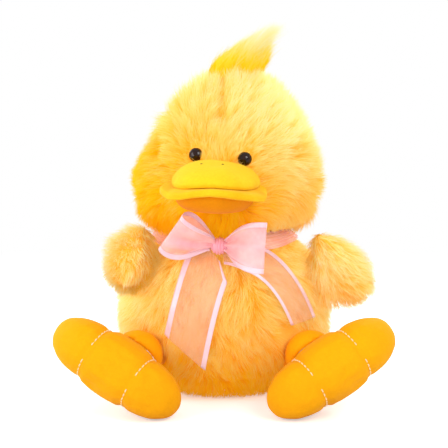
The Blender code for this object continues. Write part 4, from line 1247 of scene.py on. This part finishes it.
def make_crest():
    """A flame of long pile that grows from the crown and leans to one side."""
    rng = np.random.default_rng(53)
    low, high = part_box("crest_tuft")
    base = np.array([low[0] + 0.021, (low[1] + high[1]) / 2, high[2] - CREST_HEIGHT])
    count = CREST_STRANDS
    disc = rng.normal(size=(count, 2))
    disc = disc / np.linalg.norm(disc, axis=1)[:, None] * np.sqrt(rng.uniform(size=(count, 1)))
    radius = np.linalg.norm(disc, axis=1)
    end = np.clip(1.02 - 0.62 * radius**1.6 + rng.normal(0, 0.06, count), 0.2, 0.98)
    start = np.clip(rng.uniform(-0.05, 0.30, count) * (1 - radius), -0.05, 1)
    height = start[:, None] + (end - start)[:, None] * ALONG[None, :]
    lean = CREST_LEAN * np.clip(height, 0, 1.1) ** 1.62
    size = np.interp(height, CREST_LEVELS, CREST_SIZES)
    tuft = waves(disc[:, :1] * np.array([[0.05, 0, 0]]) + disc[:, 1:] * np.array([[0, 0.05, 0]]), 0.02, rng)
    curves = np.empty((count, STRAND_POINTS, 3))
    curves[:, :, 0] = base[0] + lean + disc[:, :1] * CREST_HALF_WIDTH * size + 0.0006 * tuft[:, None] * ALONG
    curves[:, :, 1] = base[1] + disc[:, 1:] * CREST_HALF_DEPTH * size
    curves[:, :, 2] = base[2] + CREST_HEIGHT * height
    wisps = rng.choice(count, CREST_WISPS, replace=False)
    group = nearest_of(curves[:, 0], curves[wisps, 0])
    outer = np.clip(radius, 0, 1)[:, None, None]
    wisp_move = rng.normal(0, 0.0022, (CREST_WISPS, 1, 3)) * [1.2, 1.2, 0.8]
    curves += wisp_move[group] * (ALONG**1.8)[None, :, None]
    curves += rng.normal(0, 0.0010, (count, 1, 3)) * (1 + 1.6 * outer) * (ALONG**1.5)[None, :, None]
    normals = unit(np.stack([disc[:, 0] * 0.6, disc[:, 1] - 0.25, np.full(count, 0.25)], axis=1))
    tones = 0.40 + rng.normal(0, 0.28, CREST_WISPS)[group] + rng.normal(0, 0.20, count)
    pile = Pile(rng, curves, normals, np.clip(tones, 0.01, 0.99), curves[:, -1])
    mesh = pile.mesh("crest_pile", "crest")

    # V follows the height in the tuft, so that only its tip is pale.
    uv = np.empty(len(mesh.loops) * 2, np.float32)
    layer = mesh.uv_layers["OFBake"]
    layer.data.foreach_get("uv", uv)
    places = np.empty(len(mesh.vertices) * 3, np.float32)
    mesh.vertices.foreach_get("co", places)
    corner = np.empty(len(mesh.loops), np.int32)
    mesh.loops.foreach_get("vertex_index", corner)
    uneven = rng.normal(0, 0.08, CREST_WISPS)[group] + rng.normal(0, 0.06, count)
    level = (places.reshape(-1, 3)[corner, 2] - base[2]) / CREST_HEIGHT
    level += uneven[corner // (2 * STRAND_POINTS - 1)]
    uv = uv.reshape(-1, 2)
    uv[:, 1] = np.clip(level, 0.01, 0.99)
    layer.data.foreach_set("uv", uv.ravel())
    piece("crest_pile", mesh, None, "head", ("crest_tuft",))


BILL_SEAT = (
    Matrix.Translation((0, 0, NECK_HEIGHT))
    @ Matrix.Rotation(math.radians(-7), 4, "Z")
    @ Matrix.Rotation(math.radians(3.3), 4, "Y")
    @ Matrix.Translation((0, BILL_FRONT, BILL_HEIGHT))
)
BRIM_WIDTH = 0.080
BRIM_REACH = 0.054
BRIM_HALF_THICK = 0.00325
BRIM_ROLL = 0.07
BRIM_DROOP = 0.0036
BILL_BACK = 0.014
# The upper bill's dome and the lower bill: half width, reach to the front and height.
DOME_SIZE = (0.0318, 0.046, 0.0140)
JAW_SIZE = (0.0290, 0.0425, 0.0165)
JAW_OVERLAP = 0.0004
OUTLINE_POWER = 2.3
WAVE_PLACES = (-1.0, -0.88, -0.72, -0.50, -0.25, 0.05, 0.32, 0.60, 0.80, 0.92, 1.0)
WAVE_HEIGHTS_MM = (0.0, -1.4, -3.0, -2.0, 0.4, 2.6, 2.4, 1.4, 0.2, -1.2, 0.4)


def rounded(turn, half_x, front, back):
    """A point of a rounded outline: wide in X, to the front in -Y and to the back in +Y."""
    c, s = math.cos(turn), math.sin(turn)
    x = half_x * math.copysign(abs(c) ** (2 / OUTLINE_POWER), c)
    y = math.copysign(abs(s) ** (2 / OUTLINE_POWER), s)
    return x, y * (back if y > 0 else front)


def bent(x, y, z, share):
    """Droops a flat place of the bill at its sides and waves it towards its rim."""
    side = x / (BRIM_WIDTH / 2)
    wave = float(np.interp(side, WAVE_PLACES, WAVE_HEIGHTS_MM)) / 1000 * share**2.2
    front = smooth_step(-y / BRIM_REACH, -0.05, 0.35)
    return Vector((x, y, z + wave * (0.35 + 0.65 * front) - BRIM_DROOP * side * side))


def shell(loops):
    """Points and faces of a stack of loops of equal count, with its ends drawn to a point."""
    count = len(loops[0])
    points = [p for loop in loops for p in loop]
    faces = []
    for row in range(len(loops) - 1):
        for c in range(count):
            d = (c + 1) % count
            faces.append((row * count + c, row * count + d, (row + 1) * count + d, (row + 1) * count + c))
    for row, order in ((0, -1), (len(loops) - 1, 1)):
        hub = len(points)
        points.append(sum(loops[row], Vector()) / count)
        for c in range(count):
            corners = (row * count + c, row * count + (c + 1) % count, hub)
            faces.append(corners[::order])
    return points, faces


def wrinkle(x, y, z, scale, seed):
    return noise_vector(Vector((x, y, z)) / scale + Vector((seed, 0, 0)))[2]


def dome_points(size, base, sign, seed):
    """A padded dome on the brim, full at its foot, with the faint lumps of its filling."""
    half_x, front, height = size
    loops = []
    steps = 160
    for t in np.linspace(0.04, 1, 46):
        share = math.sin(t * math.pi / 2) ** 0.92
        foot = smooth_step(t, 0.90, 1.0)
        drawn = share - 0.022 * foot
        loop = []
        for step in range(steps):
            turn = 2 * math.pi * step / steps
            x, y = rounded(turn, half_x * drawn, front * drawn, BILL_BACK * share)
            rise = height * max(1 - share**2.7, 0) ** (1 / 2.1)
            pucker = 0.00030 * math.sin(turn * 46 + seed) * smooth_step(t, 0.72, 0.93) * (1 - foot)
            lump = wrinkle(x, y, rise, 0.016, seed) * 0.0007 * (1 - foot)
            loop.append(bent(x, y, 0, share * 0.8) + Vector((0, 0, sign * (base + rise + lump + pucker))))
        loops.append(loop[::sign])
    return shell(loops)


def brim_points():
    """The flat pad with a rolled rim and a seam round its middle."""
    loops = []
    steps = 200
    flat = 1 - BRIM_ROLL
    for half in (1, -1):
        shares = list(np.linspace(0.06, flat, 16))
        thick = [BRIM_HALF_THICK * (1 - 0.16 * smooth_step(s, 0.55, 0.90)) for s in shares]
        for k in range(1, 8):
            angle = k / 8 * math.pi / 2
            shares.append(flat + BRIM_ROLL * math.sin(angle))
            thick.append(BRIM_HALF_THICK * (0.84 * math.cos(angle) ** 0.8 + 0.03))
        rows = list(zip(shares, thick))
        if half < 0:
            rows = [(0.994, 0.0)] + rows[::-1]
        for share, thickness in rows:
            loop = []
            for step in range(steps):
                turn = 2 * math.pi * step / steps
                x, y = rounded(turn, BRIM_WIDTH / 2 * share, BRIM_REACH * share, BILL_BACK * share)
                x *= 1 - 0.08 * float(smooth_step(y, -0.022, 0.0))
                tuck = 0.00016 * math.sin(turn * 70) * smooth_step(share, 0.93, 0.99)
                lump = wrinkle(x, y, half, 0.013, 3) * 0.0005 * smooth_step(1.0 - share, 0.0, 0.1)
                loop.append(bent(x, y, half * (thickness + tuck + lump), share))
            loops.append(loop)
    return shell(loops)


def seated(name, parts, seat, finish, body, replaced):
    """One piece from several closed shells, placed in a frame."""
    points, faces = [], []
    for some_points, some_faces in parts:
        start = len(points)
        points += [seat @ p for p in some_points]
        faces += [tuple(start + i for i in f) for f in some_faces]
    mesh = mesh_from(name, points, faces)
    shape = bmesh.new()
    shape.from_mesh(mesh)
    bmesh.ops.recalc_face_normals(shape, faces=shape.faces)
    shape.to_mesh(mesh)
    shape.free()
    return piece(name, mesh, finish, body, replaced)


def make_bill():
    """Upper bill with a dome on its flared brim, lower bill, and two nostril threads."""
    parts = [brim_points(), dome_points(DOME_SIZE, BRIM_HALF_THICK, 1, 1.3)]
    upper = seated("upper_bill", parts, BILL_SEAT, "bill", "head", ("upper_bill_cover",))
    parts = [dome_points(JAW_SIZE, BRIM_HALF_THICK - JAW_OVERLAP, -1, 4.1)]
    lower = seated("lower_bill", parts, BILL_SEAT, "jaw", "head", ("lower_bill_cover",))
    tree = tree_from(upper)
    for index, pixel in enumerate(NOSTRIL_PIXELS):
        here = spot(pixel, tree)
        if here:
            line = [here + Vector((-0.0012, 0, 0.0006)), here, here + Vector((0.0012, 0, 0.0006))]
            stitches(f"nostril_{index + 1}", line, tree, "head", NOSTRIL_THREAD)


FOOT_WIDTH = 0.107
FOOT_TOE = 0.033
FOOT_YAW = math.radians(20)
FOOT_ROLL = math.radians(29)
FOOT_PITCH = math.radians(20)
CHANNEL_SHARES = (-0.36, 0.36)
CHANNEL_SINK = 0.0009
CHANNEL_HELD = 0.0016
HIP_HELD = 0.012
LEG_VOXEL = 0.0026
FOOT_VOXEL = 0.0030
LEG_PRESSURE = 3.0
FOOT_PRESSURE = 4.0
PUFF_LIMIT = 0.0012
CLOTH_FRAMES = 16


def foot_frame(side):
    """The foot's own frame, X to the toes, Y through its thickness and Z across it."""
    sign = SIDES[side]
    sideways = Vector((sign * math.cos(FOOT_YAW), math.sin(FOOT_YAW), 0))
    wide = sideways * math.cos(FOOT_ROLL) + Vector((0, 0, 1)) * math.sin(FOOT_ROLL)
    forward = Vector((sign * math.sin(FOOT_YAW), -math.cos(FOOT_YAW), 0))
    toe = forward * math.cos(FOOT_PITCH) + sign * forward.cross(wide) * math.sin(FOOT_PITCH)
    turned_frame = frame_of(toe, wide, Vector())
    back = turned_frame.inverted()
    points = [back @ v.co for v in NODES[f"foot_{side}_cover"].data.vertices]
    across = [p.z for p in points]
    high = [p.y for p in points]
    middle = turned_frame @ Vector((0, (min(high) + max(high)) / 2, (min(across) + max(across)) / 2))
    tip = max(p.x for p in points)
    middle += turned_frame.to_3x3() @ Vector((tip - FOOT_TOE, 0, 0))
    return Matrix.Translation(middle) @ turned_frame


def puffed(made, pinned, pressure):
    """Blows the cloth of a cover up against its filling, held where it is stitched through."""
    before = points_of(made.data)
    group = made.vertex_groups.new(name="held")
    group.add([int(i) for i in np.flatnonzero(pinned)], 1.0, "REPLACE")
    cloth = made.modifiers.new("cloth", "CLOTH")
    settings = cloth.settings
    settings.vertex_group_mass = "held"
    settings.use_pressure = True
    settings.uniform_pressure_force = pressure
    settings.mass = 0.2
    settings.tension_stiffness = 25
    settings.compression_stiffness = 8
    settings.shear_stiffness = 6
    settings.bending_stiffness = 0.6
    settings.quality = 6
    settings.effector_weights.gravity = 0
    settings.shrink_min = -0.03
    cloth.point_cache.frame_start = 1
    cloth.point_cache.frame_end = CLOTH_FRAMES
    for step in range(1, CLOTH_FRAMES + 1):
        SCENE.frame_set(step)
    graph = bpy.context.evaluated_depsgraph_get()
    after = points_of(made.evaluated_get(graph).data)
    SCENE.frame_set(1)
    made.modifiers.remove(cloth)
    move = after - before
    size = np.linalg.norm(move, axis=1, keepdims=True)
    move *= np.minimum(1, PUFF_LIMIT / np.maximum(size, 1e-9))
    move_points(made.data, before + move)


def finer(made):
    made.modifiers.new("fine", "SUBSURF").levels = 1
    return baked(made)


def traced(tree, local, places, face):
    """Where a line over the foot, in X and Z of its own frame, meets its upper or lower face."""
    aim = (local.to_3x3() @ Vector((0, -face, 0))).normalized()
    starts = [local @ Vector((reach, 0.05 * face, across)) for reach, across in places]
    hits = [tree.ray_cast(start, aim)[0] for start in starts]
    return [hit for hit in hits if hit]


def make_leg(side):
    """Leg and foot: stuffed smooth cloth, the foot stitched through along two channels."""
    leg = soft_copy(f"leg_{side}", (f"leg_{side}_cover", f"leg_{side}_stuffing"), LEG_VOXEL, 3)
    hip = joint_place(f"leg_{side}_lift")
    apart = np.array([(v.co - hip).length for v in leg.data.vertices])
    puffed(leg, apart < HIP_HELD, LEG_PRESSURE)
    finish_piece(finer(leg), "leg", f"leg_{side}", (f"leg_{side}_cover",))

    foot = soft_copy(f"foot_{side}", (f"foot_{side}_cover", f"foot_{side}_stuffing"), FOOT_VOXEL, 2)
    local = foot_frame(side)
    back = np.array(local.inverted())
    places = points_of(foot.data)
    own = places @ back[:3, :3].T + back[:3, 3]
    half = FOOT_WIDTH / 2
    share = own[:, 2] / half
    channel = np.min([np.abs(share - c) for c in CHANNEL_SHARES], axis=0) * half
    toes = smooth_step(own[:, 0], -0.012, 0.010)
    sink = CHANNEL_SINK * bell(channel, 0.0030) * toes
    normals = np.array([v.normal for v in foot.data.vertices])
    move_points(foot.data, places - normals * sink[:, None])
    puffed(foot, (channel < CHANNEL_HELD) & (own[:, 0] > -0.006), FOOT_PRESSURE)
    finish_piece(finer(foot), "foot", f"leg_{side}", (f"foot_{side}_cover",))
    tree = tree_from(foot)
    channels = [(place, face) for place in CHANNEL_SHARES for face in (1, -1)]
    for index, (place, face) in enumerate(channels):
        line = [(reach, place * half) for reach in np.linspace(-0.010, FOOT_TOE * 0.93, 24)]
        line = traced(tree, local, line, face)
        if len(line) > 1:
            stitches(f"foot_stitch_{side}_{index + 1}", line, tree, f"leg_{side}", CHANNEL_THREAD)
    for index, face in enumerate((1, -1)):
        line = [(-0.008 * (1 - place**2) - 0.003, place * half) for place in np.linspace(-0.94, 0.94, 60)]
        line = traced(tree, local, line, face)
        if len(line) > 1:
            stitches(f"foot_seam_{side}_{index + 1}", line, tree, f"leg_{side}", SEAM_THREAD)


def make_inner(node, body, finish):
    """Filling inside a cover: the node's form, drawn in a little by its loose fibres."""
    made = linked(node + "_fill", NODES[node].data.copy())
    fine = made.modifiers.new("fine", "SUBSURF")
    fine.levels = 1
    fine.subdivision_type = "SIMPLE"
    baked(made)
    places = points_of(made.data)
    normals = np.array([v.normal for v in made.data.vertices])
    rng = np.random.default_rng(len(node))
    pull = 0.0005 + 0.0004 * waves(places, 0.012, rng)
    move_points(made.data, places - normals * np.clip(pull, 0, 0.0012)[:, None])
    finish_piece(made, finish, body, (node,))


head_skin, head_piece, head_pile = make_head()
body_skin, body_piece, body_pile = make_body()
for side in SIDES:
    make_wing(side)
    make_leg(side)
make_tail()
make_crest()
make_bill()

sheets = []
for side in SIDES:
    rows = loop_rows(side)
    replaced = ("bow_loop_" + side,)
    name = f"bow_loop_cloth_{side}"
    sheets.append(strip(name, rows, replaced, True, "organza_loop"))
    rows = tail_rows(side, body_skin.tree)
    replaced = ("ribbon_tail_" + side,)
    sheets.append(strip(f"ribbon_tail_cloth_{side}", rows, replaced))
rows = knot_rows()
sheets.append(strip("bow_knot_cloth", rows, ("bow_knot",), False, "knot"))
rows = band_rows(body_skin.tree)
strip("neck_band_cloth", rows, ("neck_ribbon",), False, "organza_loop")

for pile in (body_pile, head_pile):
    for made, tree in sheets:
        corners = np.array([made.matrix_world @ v.co for v in made.data.vertices])
        low, high = corners.min(axis=0) - 0.001, corners.max(axis=0) + 0.001
        low[1] -= 0.03
        high[1] = TUCK_FROM
        pile.tuck_under(tree, low, high)
head_pile.pieces("head_pile", "pile", head_piece, 2)
body_pile.pieces("body_pile", "pile", body_piece, 2)

INNER = {
    "body": ("body_stuffing", "tail_stuffing"),
    "head": ("head_stuffing", "upper_bill_stuffing", "lower_bill_stuffing"),
    "wing_left": ("wing_left_stuffing",),
    "wing_right": ("wing_right_stuffing",),
    "leg_left": ("leg_left_stuffing", "foot_left_stuffing"),
    "leg_right": ("leg_right_stuffing", "foot_right_stuffing"),
}
for body, nodes in INNER.items():
    for node in nodes:
        make_inner(node, body, "fibre")
make_inner("pellet_bag", "body", "bag")
for side in SIDES:
    for node, finish in (("eye_", "eye"), ("eye_washer_", "washer")):
        for slot in NODES[node + side].material_slots:
            slot.material = LOOKS[finish]


# Stage.

FLOOR_HALF = 3.0
FLOOR_RISE = 3.0
FLOOR_BEND = 0.6
FLOOR_GLOW = 0.45
FLOOR_GAP = 0.0006
FLOOR_FADE = (0.22, 0.55)
WORLD_LIGHT = 0.78
WHITE = (1, 1, 1)
LAMP_TARGET = Vector((0, 0, 0.12))
# For each lamp its place, size, energy in watts and colour.
LAMPS = {
    "key": ((0.75, -1.0, 1.05), 0.7, 8.8, (1.0, 0.985, 0.96)),
    "fill": ((-1.1, -0.9, 0.55), 0.9, 8.0, WHITE),
    "back": ((0.5, 1.2, 0.9), 0.8, 10.0, WHITE),
    "rim": ((-1.2, 0.8, 0.7), 0.8, 9.0, WHITE),
}


def aimed(name, data, place, aim):
    """An object at a place that looks along an aim."""
    made = linked(name, data)
    made.location = place
    made.rotation_mode = "QUATERNION"
    made.rotation_quaternion = aim.to_track_quat("-Z", "Y")
    return made


def floor_look():
    """White that takes soft shadows near the duck and turns to plain white further out."""
    made = bpy.data.materials.new("floor_white")
    made.use_nodes = True
    graph = Graph(made.node_tree)
    graph.tree.nodes.clear()
    diffuse = graph.node("BsdfDiffuse", Color=(0.86, 0.86, 0.86, 1))
    camera = graph.node("LightPath").outputs["Is Camera Ray"]
    glow = graph.node("Emission", Strength=graph.maths("MULTIPLY", camera, FLOOR_GLOW))
    near = graph.node("AddShader", i0=diffuse.outputs[0], i1=glow.outputs[0])
    reach = graph.node("VectorMath", {"operation": "LENGTH"}, i0=graph.place()).outputs["Value"]
    fade = {"interpolation_type": "SMOOTHSTEP"}
    away = graph.node("MapRange", fade, i0=reach, i1=FLOOR_FADE[0], i2=FLOOR_FADE[1])
    seen = graph.maths("MULTIPLY", away.outputs[0], camera)
    far = graph.node("Emission")
    blend = graph.node("MixShader", i0=seen, i1=near.outputs[0], i2=far.outputs[0])
    graph.node("OutputMaterial", Surface=blend.outputs[0])
    return made


def make_floor():
    profile = [(-FLOOR_HALF, 0.0), (FLOOR_HALF, 0.0)]
    for angle in np.linspace(0, math.pi / 2, 12):
        profile.append((FLOOR_HALF + FLOOR_BEND * math.sin(angle), FLOOR_BEND * (1 - math.cos(angle))))
    profile.append((FLOOR_HALF + FLOOR_BEND, FLOOR_RISE))
    points = [(x, y, z) for y, z in profile for x in (-FLOOR_HALF, FLOOR_HALF)]
    faces = [(2 * i, 2 * i + 1, 2 * i + 3, 2 * i + 2) for i in range(len(profile) - 1)]
    mesh = mesh_from("floor", points, faces)
    mesh.materials.append(floor_look())
    made = linked("floor", mesh)
    made.location.z = -FLOOR_GAP


def make_world():
    """Soft light from all round, and a plain white background behind the duck."""
    world = bpy.data.worlds.new("studio")
    SCENE.world = world
    world.use_nodes = True
    graph = Graph(world.node_tree)
    soft = graph.tree.nodes["Background"]
    soft.inputs["Color"].default_value = (*WHITE, 1)
    soft.inputs["Strength"].default_value = WORLD_LIGHT
    ground = graph.node("Background", Color=(*WHITE, 1), Strength=1.0)
    path = graph.node("LightPath").outputs
    direct = graph.maths("MAXIMUM", path["Is Camera Ray"], path["Is Transmission Ray"])
    blend = graph.node("MixShader", i0=direct, i1=soft.outputs[0], i2=ground.outputs[0])
    graph.feed(graph.tree.nodes["World Output"].inputs["Surface"], blend.outputs[0])


def make_lamps():
    for name, (place, size, energy, colour) in LAMPS.items():
        light = bpy.data.lights.new(name, "AREA")
        light.shape = "DISK"
        light.size = size
        light.energy = energy
        light.color = colour
        aimed(name, light, place, LAMP_TARGET - Vector(place))


def make_camera():
    view = bpy.data.cameras.new("photo")
    view.sensor_width = SENSOR_MM
    view.lens = SENSOR_MM * CAMERA_DISTANCE / VIEW_WIDTH
    view.clip_start = 0.05
    view.clip_end = 20
    SCENE.camera = aimed("photo", view, CAMERA_PLACE, -CAMERA_BACK)


make_floor()
make_world()
make_lamps()
make_camera()
